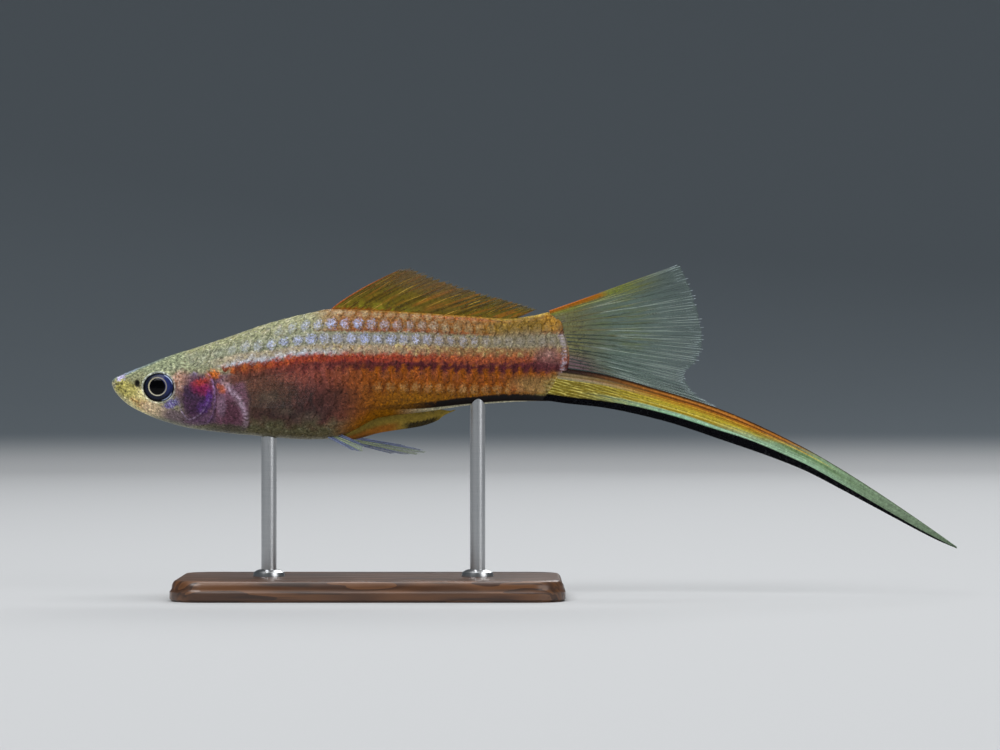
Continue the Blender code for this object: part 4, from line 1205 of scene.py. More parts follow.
def make_eye(side, word, finish):
    """A domed eye set in its orbit: black pupil, gold ring, navy iris and dark rim."""
    rings, spokes = 84, 168
    reach = np.linspace(0.0, 1.04, rings)[1:]
    angle = np.linspace(0, 2 * np.pi, spokes, endpoint=False)
    r, a = np.meshgrid(reach, angle, indexing="ij")
    shift = 1 - np.minimum(r, 1.0)
    x = EYE_X + EYE_HALF[0] * r * np.cos(a) + (PUPIL_X - EYE_X) * shift
    z = EYE_Z + EYE_HALF[1] * r * np.sin(a) + (PUPIL_Z - EYE_Z) * shift
    dome = EYE_DOME * np.sqrt(np.maximum(0.0, 1 - (0.97 * r) ** 2)) - 0.10 - 0.7 * soft(0.97, 1.04, r)
    dome += 0.07 * fade(0.85, 1.15, np.hypot(x - PUPIL_X, z - PUPIL_Z) / PUPIL_RADIUS)
    front = float(flank(np.array(PUPIL_X), np.array(PUPIL_Z))) + EYE_DOME - 0.03
    rounds = np.stack([x, side * (flank(x, z) + dome), z], axis=-1).reshape(-1, 3)
    points = np.vstack([rounds, (PUPIL_X, side * front, PUPIL_Z), (EYE_X, side * 2.0, EYE_Z)])
    faces = grid_quads(rings - 1, spokes, closed=True)
    last = (rings - 2) * spokes
    for k in range(spokes):
        n = (k + 1) % spokes
        faces.append((n, k, len(points) - 2))
        faces.append((last + k, last + n, len(points) - 1))
    colours = eye_paint(points[:, 0], points[:, 2])
    make_piece("glass_eye_" + word, points, faces, finish, "eye", ["eye_" + word], colours)


def eye_paint(x, z):
    """The rings of the eye, with the brighter iris behind the pupil. The gold ring, its own colour, is
    painted brighter at its lower front and below the pupil as a painted highlight, with painted glints near
    the rim.
    """
    r = np.hypot(x - PUPIL_X, z - PUPIL_Z)
    angle = np.arctan2(z - PUPIL_Z, x - PUPIL_X)
    reach = eye_reach(x, z)
    behind = np.clip(np.cos(angle - 0.35), 0, 1)
    lower_front_highlight = np.clip(np.cos(angle - 3.6), 0, 1)
    # a share that peaks below the pupil, where the ring carries a painted highlight
    above = np.clip(np.cos(angle + 1.75), 0, 1)
    fibres = 0.5 + 0.5 * np.sin(47 * angle + 3 * np.sin(5 * angle))
    glints = soft(0.86, 0.98, np.cos(angle - 0.62)) + 0.8 * soft(0.88, 0.98, np.cos(angle + 0.85))
    return coats(
        (20, 25, 42),
        ((44, 54, 112), behind**1.3 * 0.9),
        ((56, 62, 84), 0.25 * fibres * within(1.35, 1.9, r, 0.15)),
        ((8, 9, 16), soft(1.72, 1.95, r) * (1 - 0.6 * behind)),
        # painted highlight: the gold ring brighter at its lower front
        ((206, 196, 160), within(1.20, 1.36, r, 0.05) * (0.45 + 0.55 * lower_front_highlight)),
        # painted highlight: a paler strand of the ring below the pupil
        ((222, 216, 196), within(1.24, 1.34, r, 0.04) * above),
        ((4, 4, 6), fade(1.08, 1.16, r)),
        ((6, 7, 12), within(0.93, 1.2, reach, 0.03)),
        ((186, 200, 236), within(0.90, 0.96, reach, 0.03) * glints))


def thin_sheet(place, columns, rows, thickness, reach):
    """A closed thin sheet. place(u, v) is its middle, u across the rays and v from root to tip."""
    u = np.broadcast_to(np.linspace(0, 1, columns)[:, None], (columns, rows))
    v = np.linspace(0, 1, rows)[None, :] * reach(u[:, :1])
    middle = np.stack(np.broadcast_arrays(*place(u, v)), axis=-1)
    out = np.cross(np.gradient(middle, axis=1), np.gradient(middle, axis=0))
    out = out / np.maximum(np.linalg.norm(out, axis=-1, keepdims=True), 1e-9)
    facing = out[columns // 2, rows // 2]
    out = np.where((out @ facing)[..., None] < 0, -out, out)
    half = (thickness(v) / 2)[..., None]
    points = np.concatenate([(middle + out * half).reshape(-1, 3), (middle - out * half).reshape(-1, 3)])
    count = columns * rows
    faces = grid_quads(columns, rows)
    faces += [tuple(count + i for i in reversed(f)) for f in faces]
    edge = grid_edge(columns, rows)
    for here, there in zip(edge, edge[1:] + edge[:1]):
        faces.append((there, count + there, count + here, here))
    return points, faces, np.tile(u.ravel(), 2), np.tile(v.ravel(), 2)


def tapered(root, loss, power=1.0):
    """A thickness that falls from the root of a fin to its margin."""
    return lambda v: root - loss * np.clip(v, 0, 1) ** power


def fringe(rays, depth, seed):
    """How far the web reaches along each line: full at the rays, torn back between them."""
    draw = np.random.default_rng(seed)
    tears = draw.uniform(0.3, 1.0, 4 * rays + 4)

    def reach(u):
        place = u * (rays - 1)
        between = np.abs(np.sin(np.pi * place))
        return 1.0 - depth * between * np.interp(place, np.arange(len(tears)) / 4.0, tears)
    return reach


def make_web(name, place, columns, rows, thickness, paint, finish, slot, replaces, reach=np.ones_like):
    """The web of a fin, painted by paint(u, v, x, z), which gives colours and opacity."""
    points, faces, u, v = thin_sheet(place, columns, rows, thickness, reach)
    make_piece(name, points, faces, finish, slot, replaces, paint(u, v, points[:, 0], points[:, 2]))


def ray_tree():
    """Geometry Nodes that turn lines of points into round rays as thick as each point says."""
    tree = bpy.data.node_groups.new("fin_ray", "GeometryNodeTree")
    for name, kind in (("Lines", "Geometry"), ("Sides", "Int"), ("Finish", "Material")):
        tree.interface.new_socket(name, in_out="INPUT", socket_type="NodeSocket" + kind)
    tree.interface.new_socket("Rays", in_out="OUTPUT", socket_type="NodeSocketGeometry")
    given = tree.nodes.new("NodeGroupInput").outputs
    curves = add(tree, "GeometryNodeMeshToCurve", {"Mesh": given["Lines"]}).outputs[0]
    thick = add(tree, "GeometryNodeInputNamedAttribute", {"Name": "thick"}, data_type="FLOAT").outputs[0]
    inputs = {"Resolution": given["Sides"], "Radius": 1.0}
    profile = add(tree, "GeometryNodeCurvePrimitiveCircle", inputs).outputs[0]
    inputs = {"Curve": curves, "Profile Curve": profile, "Scale": thick, "Fill Caps": True}
    tubes = add(tree, "GeometryNodeCurveToMesh", inputs).outputs[0]
    inputs = {"Geometry": tubes, "Shade Smooth": True}
    rounded = add(tree, "GeometryNodeSetShadeSmooth", inputs).outputs[0]
    real = add(tree, "GeometryNodeRealizeInstances", {"Geometry": rounded}).outputs[0]
    inputs = {"Geometry": real, "Material": given["Finish"]}
    done = add(tree, "GeometryNodeSetMaterial", inputs).outputs[0]
    tree.links.new(done, tree.nodes.new("NodeGroupOutput").inputs[0])
    return tree


def make_rays(name, lines, finish, slot):
    """Round rays along lines. Each line is its points, radii and colours with opacity."""
    points, radii, colours = (np.concatenate(part) for part in zip(*lines))
    draw = np.random.default_rng(len(lines))
    edges, along, first = [], [], 0
    for line, _, _ in lines:
        edges += [(k, k + 1) for k in range(first, first + len(line) - 1)]
        first += len(line)
        steps = np.linalg.norm(np.diff(line, axis=0), axis=1)
        along.append(np.concatenate([[0.0], steps.cumsum()]) + draw.uniform(0, 9))
    mesh = bpy.data.meshes.new(name + "_lines")
    mesh.from_pydata(in_place(points).tolist(), edges, [])
    paint_on(mesh, "paint", colours)
    value_on(mesh, "thick", radii * MM)
    value_on(mesh, "along", np.concatenate(along))
    guide = put_in_scene(name + "_lines", mesh)
    tree = bpy.data.node_groups.get("fin_ray") or ray_tree()
    grow = guide.modifiers.new("grow", "NODES")
    grow.node_group = tree
    given = {"Sides": RAY_SIDES, "Finish": finish}
    for item in tree.interface.items_tree:
        if item.name in given:
            grow[item.identifier] = given[item.name]
    bpy.context.view_layer.update()
    shown = guide.evaluated_get(bpy.context.evaluated_depsgraph_get())
    grown = bpy.data.meshes.new_from_object(shown)
    grown.name = name
    guide.modifiers.clear()
    bpy.data.objects.remove(guide)
    finish_piece(name, grown, finish, slot)


def ray_line(place, u, start, end, count, radii, paint):
    """A ray from the share start to the share end of its fin, along u, which may drift."""
    v = np.linspace(start, end, count)
    drift = np.linspace(u[0], u[1], count)
    points = np.stack(np.broadcast_arrays(*place(drift, v)), axis=-1)
    return points, np.linspace(radii[0], radii[1], count), paint(drift, v, points[:, 0], points[:, 2])


def forked_rays(place, count, fork_at, stem, twig, paint):
    """Rays that fork once. Stem and twig are the radii at the two ends of each."""
    lines = []
    for k in range(count):
        u = k / (count - 1)
        lines.append(ray_line(place, (u, u), 0.0, fork_at, 10, stem, paint))
        for spread in (-0.22, 0.22):
            end = np.clip((k + spread) / (count - 1), 0, 1)
            lines.append(ray_line(place, (u, end), fork_at, 1.0, 10, twig, paint))
    return lines


def sword_edges(x):
    """The upper and the lower edge of the sword at x."""
    return smooth(SWORD_SECTIONS, x, 1), smooth(SWORD_SECTIONS, x, 2)


def fan_place(u, v):
    """The middle of the tail fin's fan. Its lowest ray follows the top of the sword."""
    root_z = FAN_ROOT_TOP + (FAN_ROOT_LOW - FAN_ROOT_TOP) * u
    root_x = stalk_end(root_z) - 0.2 - 0.9 * np.sin(np.pi * u)
    tip_x, tip_z = on_margin(FAN_MARGIN, u)
    x = root_x + (tip_x - root_x) * v
    z = root_z + (tip_z - root_z) * v
    low_x = root_x + (FAN_MARGIN[-1][0] - root_x) * v
    low_z = FAN_ROOT_LOW + (FAN_MARGIN[-1][1] - FAN_ROOT_LOW) * v
    z = z + (sword_edges(low_x)[0] + 0.05 - low_z) * u**3
    return x, 0.35 * np.sin(np.pi * v) * (1 - u), z


def fan_paint(u, v, x, z):
    """Clear grey-blue web with olive between the upper rays and an orange upper edge."""
    cloud = mottle(x, z, 1.6, 21.0)
    speck = mottle(x, z, 0.35, 22.0)
    lanes = mottle(u * 60.0, v * 5.0, 1.0, 23.0)
    colour = coats(
        (112, 134, 118),
        ((126, 122, 74), fade(0.12, 0.45, v + 0.1 * lanes) * 0.85),
        ((124, 136, 62), within(0.25, 0.66, v, 0.10) * fade(0.45, 0.7, u) * soft(-0.05, 0.35, lanes) * 0.75),
        ((176, 168, 148), fade(0.03, 0.12, v) * soft(-0.2, 0.3, speck) * 0.6),
        ((120, 92, 104), fade(0.10, 0.35, v) * soft(0.62, 0.9, u) * 0.85),
        ((66, 58, 60), fade(0.15, 0.40, v) * within(0.15, 1.0, u, 0.1) * soft(0.15, 0.45, speck) * 0.8),
        ((132, 140, 52), fade(0.03, 0.13, u) * fade(0.55, 0.95, v) * 0.9),
        ((170, 106, 22), fade(0.025, 0.06, u) * fade(0.36, 0.46, v)),
        ((198, 112, 36), fade(0.003, 0.012, u) * fade(0.22, 0.34, v)))
    opacity = 0.88 - 0.46 * soft(0.0, 0.35, v) - 0.26 * soft(0.35, 1.0, v)
    opacity = np.maximum(opacity, 0.85 * fade(0.02, 0.09, u) * fade(0.40, 0.8, v))
    return with_opacity(colour, opacity * (1 + 0.12 * cloud))


def fan_ray_paint(u, v, x, z):
    """Beaded rays, dark near the stalk and pale towards their tips, the top ones orange and olive."""
    cloud = mottle(x, z, 1.1, 24.0)
    lane = mottle(u * 50.0, v * 1.6, 1.0, 25.0)
    colour = coats(
        (72, 72, 62),
        ((146, 160, 158), soft(0.22, 0.55, v + 0.25 * cloud) * 0.75),
        ((150, 142, 84), fade(0.30, 0.60, u) * fade(0.5, 0.8, v) * 0.5),
        ((58, 72, 72), soft(0.0, 0.3, -lane) * 0.85),
        ((182, 194, 188), soft(0.0, 0.3, lane) * soft(0.1, 0.4, v) * 0.85),
        ((196, 210, 216), soft(0.90, 0.99, v + 0.1 * cloud) * 0.8),
        ((150, 150, 56), fade(0.04, 0.12, u) * fade(0.6, 0.9, v) * 0.8),
        ((190, 106, 34), fade(0.01, 0.05, u) * fade(0.33, 0.45, v)))
    return with_opacity(colour, 0.90 - 0.38 * soft(0.25, 0.8, v))


def make_fan(web, ray):
    """The fan of the tail fin: a thin web and rays that fork twice on their way out."""
    make_web("tail_fan_web", fan_place, 8 * FAN_RAYS + 1, 40, tapered(root=0.30, loss=0.24, power=0.5),
             fan_paint, web, "clear_fin", ["tail_fin"], fringe(4 * FAN_RAYS, depth=0.03, seed=31))
    step = 1.0 / (FAN_RAYS - 1)
    draw = np.random.default_rng(5)
    lines = []

    def grow(u, start, end, count, radii):
        lines.append(ray_line(fan_place, u, start, end, count, radii, fan_ray_paint))

    for k in range(FAN_RAYS):
        middle = np.clip((k + draw.uniform(-0.12, 0.12)) * step, 0, 1)
        first_fork = draw.uniform(0.20, 0.30)
        second_fork = draw.uniform(0.48, 0.62)
        grow((middle, middle), 0.0, first_fork, 12, (0.17, 0.13))
        for fork in (-0.25, 0.25):
            branch = np.clip(middle + (fork + draw.uniform(-0.05, 0.05)) * step, 0, 1)
            grow((middle, branch), first_fork, second_fork, 14, (0.105, 0.075))
            for twig in (-0.13, 0.13):
                end = np.clip(branch + (twig + draw.uniform(-0.03, 0.03)) * step, 0, 1)
                grow((branch, end), second_fork, draw.uniform(0.955, 1.012), 14, (0.065, 0.04))
    make_rays("tail_fan_rays", lines, ray, "clear_fin")


def sword_root(x, u, v, wisp, fine):
    """Olive gold with bright slanting rays, under a mauve band and a dark line."""
    slant = u - 0.030 * (x - 66.0)
    spokes = np.clip(np.sin(slant * 2 * np.pi * 12.0 + 3.2 * wisp), 0, 1) ** 4
    return coats(
        (140, 124, 44),
        ((240, 226, 124), spokes * within(0.30, 0.85, u, 0.08) * 0.9),
        ((76, 60, 24), np.clip(-fine * 2.6, 0, 1) * 0.6),
        ((150, 124, 112), within(0.14, 0.30, v, 0.05) * fade(72, 82, x) * np.clip(0.5 + fine, 0, 1)),
        ((196, 192, 160), within(0.28, 0.32, v + 0.02 * fine, 0.02) * 0.45),
        ((40, 26, 34), fade(0.10, 0.20, v + 0.03 * fine) * 0.95))


def sword_bands(v):
    """Salmon, brown, orange, gold and mint threads side by side, behind the root."""
    return coats(
        (152, 96, 32),
        ((204, 128, 58), within(0.08, 0.12, v, 0.015) * 0.85),
        ((92, 52, 20), within(0.14, 0.19, v, 0.02) * 0.9),
        ((208, 134, 46), within(0.19, 0.22, v, 0.012) * 0.7),
        ((104, 62, 22), within(0.25, 0.29, v, 0.015) * 0.8),
        ((196, 152, 46), within(0.24, 0.38, v, 0.03) * 0.85),
        ((196, 176, 58), within(0.34, 0.60, v, 0.04) * 0.95),
        ((248, 232, 130), within(0.485, 0.505, v, 0.010) * 0.8),
        ((150, 116, 26), within(0.53, 0.56, v, 0.015) * 0.8),
        ((150, 196, 160), soft(0.58, 0.63, v)),
        ((206, 232, 210), within(0.64, 0.67, v, 0.015) * 0.6))


def sword_mint(x, v, wisp):
    """Mint with green threads towards the point, the orange thinning out along the upper edge."""
    return coats(
        (142, 172, 132),
        ((168, 204, 170), soft(0.40, 0.62, v) * fade(100, 112, x) * 0.9),
        ((80, 120, 58), within(0.30, 0.37, v + 0.03 * wisp, 0.02) * 0.6),
        ((216, 206, 96), within(0.20, 0.26, v, 0.02) * fade(100, 105, x) * 0.8),
        ((150, 100, 44), fade(0.08, 0.16, v) * fade(96, 101, x)),
        ((130, 148, 124), soft(100, 114, x) * 0.85))


def sword_paint(u, x):
    """The colours of the sword at the share u from its upper edge, in three lengths of bands, with
    a dark upper edge and a black lower one."""
    wisp = mottle(x / 9.0, u * 5.0, 0.35, 40.0)
    threads = mottle(x / 26.0, u * 46.0, 1.0, 41.0)
    fine = mottle(x / 16.0, u * 70.0, 1.0, 42.0)
    v = u + 0.012 * wisp
    bands = sword_bands(v) * (1 + 0.80 * threads + 0.50 * fine)[..., None]
    mint = sword_mint(x, v, wisp) * (1 + 0.45 * threads + 0.25 * fine)[..., None]
    far = soft(0.0, 1.0, (x - 85.0 - 10.0 * fade(0.05, 0.62, v)) / 9.0 + 0.3 * wisp)
    edge = coats((40, 22, 16), ((76, 84, 60), soft(98, 108, x)))
    black = soft(-0.012, 0.022, u - smooth(SWORD_BLACK, x)) * (1 - 0.6 * soft(119.5, 121, x))
    colour = coats(
        sword_root(x, u, v, wisp, fine),
        (bands, soft(66.0, 82.0, x)),
        (mint, far),
        (edge, fade(0.025, 0.07, v) * 0.9),
        ((5, 5, 9), black))
    return colour * (1 + 0.10 * wisp)[..., None]


def make_sword(finish):
    """The sword, a solid blade of long rays with coloured bands along it."""
    u = np.linspace(0, 1, SWORD_ACROSS)[None, :]
    v = np.linspace(0, 1, SWORD_LONG)[:, None] ** 0.95
    root = stalk_end(1.9 - 5.0 * u) - 1.0
    x = root + (TOTAL_LENGTH - root) * v
    top, bottom = sword_edges(x)
    full = 1.05 - 0.62 * soft(0.0, 0.55, v) - 0.15 * soft(0.7, 1.0, v)
    profile = (1 - np.abs(2 * u - 1) ** 2.4) ** 0.5
    ridges = 0.055 * (1 - 0.5 * v) * np.cos(2 * np.pi * SWORD_RAYS * u)
    half = (full / 2) * (0.10 + 0.90 * profile) + ridges * profile
    near = np.stack(np.broadcast_arrays(x, -half, top + (bottom - top) * u), axis=-1)
    points, faces = closed_rings(np.concatenate([near, (near * (1, -1, 1))[:, ::-1]], axis=1))
    shares = np.tile(np.concatenate([u[0], u[0, ::-1]]), SWORD_LONG)
    make_piece("sword_blade", points, faces, finish, "coloured_fin", ["sword"],
               sword_paint(shares, points[:, 0]))


def dorsal_place(u, v):
    """The middle of the dorsal fin, whose rays all lean well back and whose first ray is its front edge."""
    root_x = DORSAL_ROOT[0] + (DORSAL_ROOT[1] - DORSAL_ROOT[0]) * np.clip(u, 0, 1) ** 1.3
    root_z = smooth(BODY_SECTIONS, root_x) - 0.35
    tip_x, tip_z = on_margin(DORSAL_TIPS, u)
    bulge = DORSAL_BULGE * np.sin(np.pi * np.clip(v, 0, 1) ** 0.7) * (1 - u) ** 2
    wave = 0.22 * np.sin(np.pi * v) * np.sin(3 * np.pi * u)
    return root_x + (tip_x - root_x) * v, wave, root_z + (tip_z - root_z) * v + bulge


def dorsal_paint(u, v, x, z):
    """Olive web streaked with rust and gold, yellow-green low in front, with a red base."""
    cloud = mottle(x, z, 1.3, 51.0)
    speck = mottle(x, z, 0.3, 52.0)
    lanes = mottle(u * 40.0, v * 1.3, 1.0, 53.0)
    low_front = fade(0.05, 0.28, v) * within(0.02, 0.55, u, 0.08)
    colour = coats(
        (114, 98, 32),
        ((72, 56, 20), soft(0.05, 0.40, lanes) * 0.65),
        ((176, 104, 34), soft(0.10, 0.40, -lanes) * soft(0.15, 0.5, v + 0.4 * u) * 0.5),
        ((152, 148, 44), low_front * soft(-0.2, 0.3, speck + cloud) * 0.85),
        ((120, 86, 70), soft(0.45, 0.8, v) * within(0.05, 0.55, u, 0.12) * 0.4),
        ((158, 78, 28), fade(0.03, 0.08, v + 0.04 * speck) * 0.75),
        ((176, 96, 42), fade(0.006, 0.025, u) * 0.75))
    opacity = 0.93 - 0.30 * soft(0.35, 1.0, v) - 0.12 * soft(0.6, 1.0, u)
    opacity = opacity - 0.12 * soft(-0.2, 0.5, lanes) * soft(0.3, 0.7, v)
    return with_opacity(colour, opacity * (1 + 0.10 * cloud))


def dorsal_ray_paint(u, v, x, z):
    """Rays in turn brown, gold and orange, paler and clearer towards their tips."""
    turn = mottle(u * 90.0, v * 1.5, 1.0, 54.0)
    colour = coats(
        (128, 82, 34),
        ((206, 168, 72), soft(0.05, 0.35, turn) * 0.85),
        ((62, 44, 20), soft(0.05, 0.35, -turn) * 0.85),
        ((120, 116, 92), soft(0.80, 1.0, v) * 0.6),
        ((176, 96, 40), fade(0.01, 0.04, u) * fade(0.6, 0.9, v) * 0.8))
    return with_opacity(colour, 0.95 - 0.35 * soft(0.7, 1.0, v))


def make_dorsal(web, ray):
    """The long fin on the back, with slender forked rays and a frayed upper margin."""
    make_web("dorsal_web", dorsal_place, 14 * DORSAL_RAYS + 1, 30, tapered(root=0.30, loss=0.24, power=0.5),
             dorsal_paint, web, "coloured_fin", ["dorsal_fin"], fringe(2 * DORSAL_RAYS, depth=0.10, seed=17))
    step = 1.0 / (DORSAL_RAYS - 1)
    draw = np.random.default_rng(9)
    lines = []

    def grow(u, start, end, count, radii):
        lines.append(ray_line(dorsal_place, u, start, end, count, radii, dorsal_ray_paint))

    for k in range(DORSAL_RAYS):
        middle = k * step
        first_fork = draw.uniform(0.10, 0.22)
        grow((middle, middle), 0.0, first_fork, 8, (0.16, 0.13))
        for fork in (-0.22, 0.22):
            branch = np.clip(middle + (fork + draw.uniform(-0.06, 0.06)) * step, 0, 1)
            second_fork = draw.uniform(0.45, 0.65)
            grow((middle, branch), first_fork, second_fork, 12, (0.10, 0.08))
            for twig in (-0.12, 0.12):
                end = np.clip(branch + (twig + draw.uniform(-0.04, 0.04)) * step, 0, 1)
                grow((branch, end), second_fork, draw.uniform(0.94, 1.04), 12, (0.07, 0.025))
    make_rays("dorsal_rays", lines, ray, "coloured_fin")


def make_pectoral(side, word, web, ray):
    """A clear fin behind the gill cover, folded back along the flank."""
    def place(u, v):
        root_x, root_z = on_margin(PECTORAL_ROOT, u)
        tip_x, tip_z = on_margin(PECTORAL_MARGIN, u)
        x = root_x + (tip_x - root_x) * v
        z = root_z + (tip_z - root_z) * v
        stand_off = -0.15 + 0.55 * soft(0.0, 0.15, v) + PECTORAL_LIFT * np.clip(v, 0, None) ** 1.3
        return x, side * (flank(x, z) + stand_off), z

    def paint(u, v, x, z):
        colour = coats((150, 146, 150), ((150, 120, 140), fade(0.0, 0.25, v)))
        return with_opacity(colour, 0.04 - 0.03 * soft(0.0, 0.3, v))

    def ray_colour(u, v, x, z):
        colour = coats((130, 118, 112), ((176, 172, 172), soft(0.4, 1.0, v)))
        return with_opacity(colour, 0.06 - 0.03 * soft(0.1, 1.0, v))

    make_web("pectoral_web_" + word, place, 6 * PECTORAL_RAYS + 1, 22, tapered(root=0.16, loss=0.09), paint,
             web, "clear_fin", ["pectoral_fin_" + word], fringe(PECTORAL_RAYS, depth=0.05, seed=3))
    rays = forked_rays(place, PECTORAL_RAYS, 0.55, (0.11, 0.07), (0.06, 0.025), ray_colour)
    make_rays("pectoral_rays_" + word, rays, ray, "clear_fin")


def make_pelvic(side, word, web, ray):
    """A pelvic fin below the belly. The left one is splayed, the right one long and folded back."""
    def place(u, v):
        root_x, root_y = on_margin(PELVIC_ROOT, u)
        root_z = belly_at(root_x, root_y) + 0.15
        tip_x, tip_y, tip_z = on_margin(PELVIC_MARGINS[word], u)
        y = side * root_y + (tip_y - side * root_y) * v
        return root_x + (tip_x - root_x) * v, y, root_z + (tip_z - root_z) * v

    def paint(u, v, x, z):
        colour = coats((96, 108, 138), ((150, 166, 130), within(0.3, 0.6, u, 0.12) * 0.8))
        return with_opacity(colour, 0.45 - 0.15 * soft(0.3, 1.0, v))

    def ray_colour(u, v, x, z):
        colour = coats((140, 152, 190), ((184, 198, 160), within(0.3, 0.7, u, 0.1)))
        return with_opacity(colour, 0.75 - 0.3 * soft(0.6, 1.0, v))

    make_web("pelvic_web_" + word, place, 6 * PELVIC_RAYS + 1, 22, tapered(root=0.22, loss=0.14), paint, web,
             "clear_fin", ["pelvic_fin_" + word], fringe(PELVIC_RAYS, depth=0.08, seed=4))
    rays = forked_rays(place, PELVIC_RAYS, 0.5, (0.14, 0.10), (0.08, 0.03), ray_colour)
    make_rays("pelvic_rays_" + word, rays, ray, "clear_fin")


def gonopodium_place(u, v):
    """The narrow anal fin of the male, u from its keel up to the belly and v back to its tip."""
    start, end = GONOPODIUM_KEEL[0][0], GONOPODIUM_KEEL[-1][0]
    x = start + (end - start) * v
    keel = smooth(GONOPODIUM_KEEL, x)
    upper = np.maximum(belly_at(x, np.zeros_like(x)) + 0.12, keel + 0.3)
    upper = upper + (keel + 0.10 - upper) * soft(0.86, 1.0, v)
    return x, np.zeros_like(x), keel + (upper - keel) * u


def gonopodium_paint(u, v, x, z):
    """Olive above, orange-brown along the front of the keel, and black serrations at the tip."""
    cloud = mottle(x, z * 2.0, 0.9, 61.0)
    teeth = 0.5 + 0.5 * np.sin(x * 2 * np.pi / 0.48 + 3.0 * cloud)
    colour = coats(
        (128, 108, 42),
        ((136, 80, 20), fade(0.30, 0.65, u + 0.1 * cloud) * fade(0.40, 0.55, v) * 0.9),
        ((60, 42, 16), fade(0.08, 0.2, u) * fade(0.1, 0.4, v) * 0.6),
        ((16, 12, 10), fade(0.24, 0.44, u - 0.09 * teeth) * within(0.55, 0.84, v, 0.05) * 0.9))
    return with_opacity(colour, 0.97 - 0.25 * soft(0.5, 1.0, v) * soft(0.3, 0.8, u))


def make_gonopodium(web, ray):
    """The male's anal fin, a blade of long rays folded back under the body."""
    make_web("gonopodium_blade", gonopodium_place, 40, 90, tapered(root=0.55, loss=0.3), gonopodium_paint,
             web, "coloured_fin", ["gonopodium"])
    lines = []
    for k in range(GONOPODIUM_RAYS):
        u = 0.04 + 0.92 * k / (GONOPODIUM_RAYS - 1)
        drift = (u, 0.15 + 0.6 * u)
        lines.append(ray_line(gonopodium_place, drift, 0.0, 0.99, 40, (0.24, 0.06), gonopodium_paint))
    make_rays("gonopodium_rays", lines, ray, "coloured_fin")


def make_turned(name, rings, finish, slot, node):
    """A piece of the stand from rings of points, smooth but for its hard edges."""
    piece = make_piece(name, *closed_rings(rings), finish, slot, [node])
    piece.data.set_sharp_from_angle(angle=0.6)


def make_base(finish):
    """The base plate, with round corners and a moulded edge."""
    low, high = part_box("stand_base")
    middle = (low.x + high.x) / 2 / MM - SNOUT_X
    half_x = (high.x - low.x) / 2 / MM - BASE_CORNER
    half_y = (high.y - low.y) / 2 / MM - BASE_CORNER
    height = high.z / MM
    angle = np.linspace(0, 2 * np.pi, 96, endpoint=False) + np.pi / 96
    c, s = np.cos(angle), np.sin(angle)
    profile = [(0.0, 0.35), (0.35, 0.0), (height * 0.45, 0.0), (height * 0.52, 0.18), (height * 0.60, 0.30)]
    profile += [(height * (0.60 + 0.40 * np.sin(t)), 0.30 + 0.75 * (1 - np.cos(t)))
                for t in np.linspace(0.2, np.pi / 2, 7)]
    rings = []
    for level, draw_in in profile:
        x = middle + np.sign(c) * half_x + (BASE_CORNER - draw_in) * c
        y = np.sign(s) * half_y + (BASE_CORNER - draw_in) * s
        rings.append(np.stack([x, y, np.full_like(angle, level - SNOUT_Z)], axis=-1))
    make_turned("walnut_base", rings, finish, "base_wood", "stand_base")


def make_rod(word, x, finish):
    """A rod whose top is hollowed to the belly, standing in a turned collar."""
    base_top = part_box("stand_base")[1].z / MM - SNOUT_Z
    angle = np.linspace(0, 2 * np.pi, 64, endpoint=False)
    c, s = np.cos(angle), np.sin(angle)
    rounding = [(0.0, 0.0), (0.15, 0.0), (0.6, 0.1), (0.9, 0.6), (1.0, 0.9)]
    profile = [(COLLAR_HEIGHT * h, COLLAR_RADIUS - less) for h, less in rounding]
    profile.append((COLLAR_HEIGHT, ROD_RADIUS))
    rings = [np.stack([x + r * c, r * s, np.full_like(angle, base_top + h)], axis=-1) for h, r in profile]
    for share, drop in ((1.0, 0.12), (0.9, 0.02), (0.5, 0.02), (0.02 / ROD_RADIUS, 0.02)):
        ring_x, ring_y = x + ROD_RADIUS * share * c, ROD_RADIUS * share * s
        rings.append(np.stack([ring_x, ring_y, belly_at(ring_x, ring_y) + COAT_DEPTH - drop], axis=-1))
    make_turned("steel_rod_" + word, rings, finish, "rod_steel", "stand_rod_" + word)


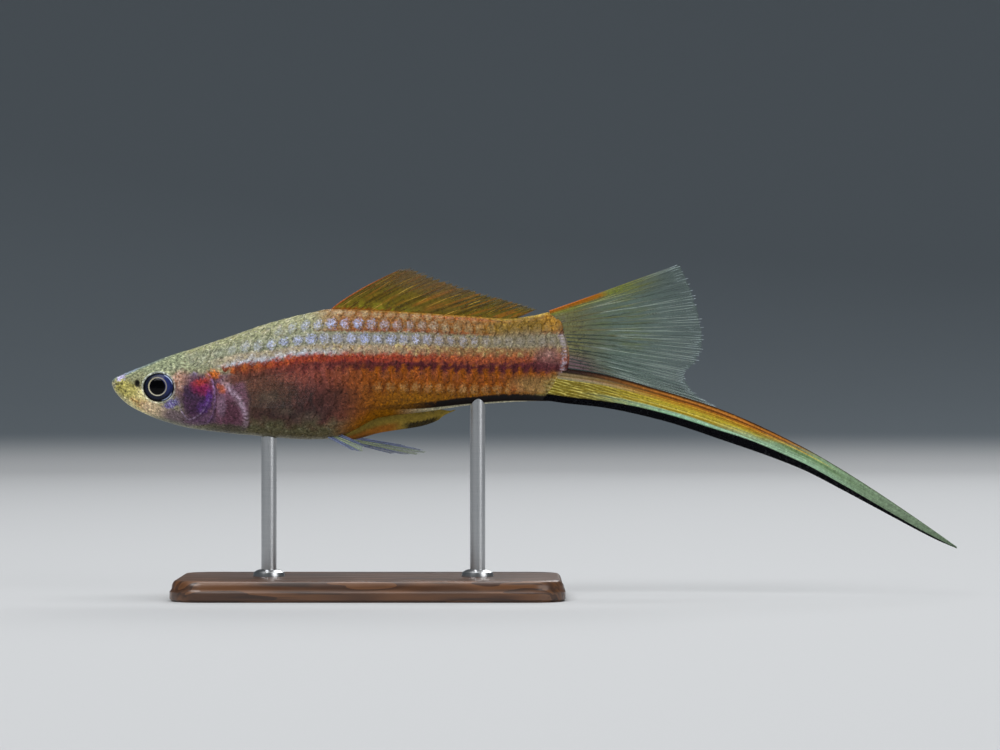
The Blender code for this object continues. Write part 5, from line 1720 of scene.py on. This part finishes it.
def make_floor():
    """A round pale floor that sweeps up into a plain backdrop on every side."""
    angle = np.linspace(0, 2 * np.pi, 128, endpoint=False)
    profile = [(0.45, 0.0), (0.80, 0.0)]
    profile += [(0.80 + 0.55 * np.sin(t), 0.55 * (1 - np.cos(t))) for t in np.linspace(0.1, np.pi / 2, 16)]
    profile += [(1.35, 1.2), (1.35, 1.9)]
    points = [(0.0, 0.0, 0.0)]
    for radius, height in profile:
        points += [(radius * np.cos(a), radius * np.sin(a), height) for a in angle]
    count = len(angle)
    faces = [(0, 1 + k, 1 + (k + 1) % count) for k in range(count)]
    faces += [f[::-1] for f in grid_quads(len(profile), count, first=1, closed=True)]
    mesh = bpy.data.meshes.new("studio_floor")
    mesh.from_pydata(points, [], faces)
    mesh.shade_smooth()

    def colour(tree):
        where = add(tree, "ShaderNodeTexCoord").outputs["Object"]
        height = add(tree, "ShaderNodeSeparateXYZ", {0: where}).outputs["Z"]
        return blend(tree, ramp(tree, height, 0.0, 0.012), (0.50, 0.51, 0.52, 1.0), (0.13, 0.155, 0.175, 1.0))

    mesh.materials.append(finish_of("pale_paper", colour, 0.85))
    put_in_scene("studio_floor", mesh)


def make_studio():
    """The floor, four soft lamps and the plain light of the air."""
    make_floor()
    for name, place, size, power in (
        ("key_light", (-0.45, -0.55, 0.75), 0.55, 5.4),
        ("fill_light", (0.65, -0.60, 0.35), 0.60, 2.3),
        ("top_light", (0.0, 0.10, 0.85), 0.70, 4.6),
        ("rim_light", (0.20, 0.70, 0.55), 0.45, 2.4),
    ):
        lamp = bpy.data.lights.new(name, "AREA")
        lamp.shape = "DISK"
        lamp.size = size
        lamp.energy = power
        made = put_in_scene(name, lamp)
        made.location = place
        made.rotation_euler = (Vector((0.0, 0.0, 0.03)) - Vector(place)).to_track_quat("-Z", "Y").to_euler()
        made.visible_camera = False

    world = bpy.data.worlds.new("studio_air")
    bpy.context.scene.world = world
    world.use_nodes = True
    air = world.node_tree.nodes["Background"].inputs
    air["Color"].default_value = (0.88, 0.93, 1.0, 1.0)
    air["Strength"].default_value = 0.30
    bpy.context.scene.view_settings.view_transform = "Standard"


def main():
    """Camera, fish, stand and studio."""
    make_camera()
    make_skin()
    scale, eye, steel = scale_finish(), eye_finish(), steel_finish()
    clear_web, clear_ray = web_finish("clear_fin_web"), ray_finish("beaded_ray", 0.42, 0.14)
    coloured_web, coloured_ray = web_finish("coloured_fin_web"), ray_finish("coloured_ray", 0.6, 0.15)
    plain_ray = ray_finish("soft_ray", 0.5, 0.08)
    for side, word in SIDES:
        make_scales(side, word, scale)
        make_eye(side, word, eye)
        make_pectoral(side, word, clear_web, plain_ray)
        make_pelvic(side, word, clear_web, plain_ray)
    make_dorsal(coloured_web, coloured_ray)
    make_fan(clear_web, clear_ray)
    make_sword(web_finish("lacquered_blade", 0.5, 0.04))
    make_gonopodium(coloured_web, coloured_ray)
    make_base(wood_finish())
    for word, x in ROD_PLACES.items():
        make_rod(word, x, steel)
    make_studio()


main()

bpy.context.view_layer.update()
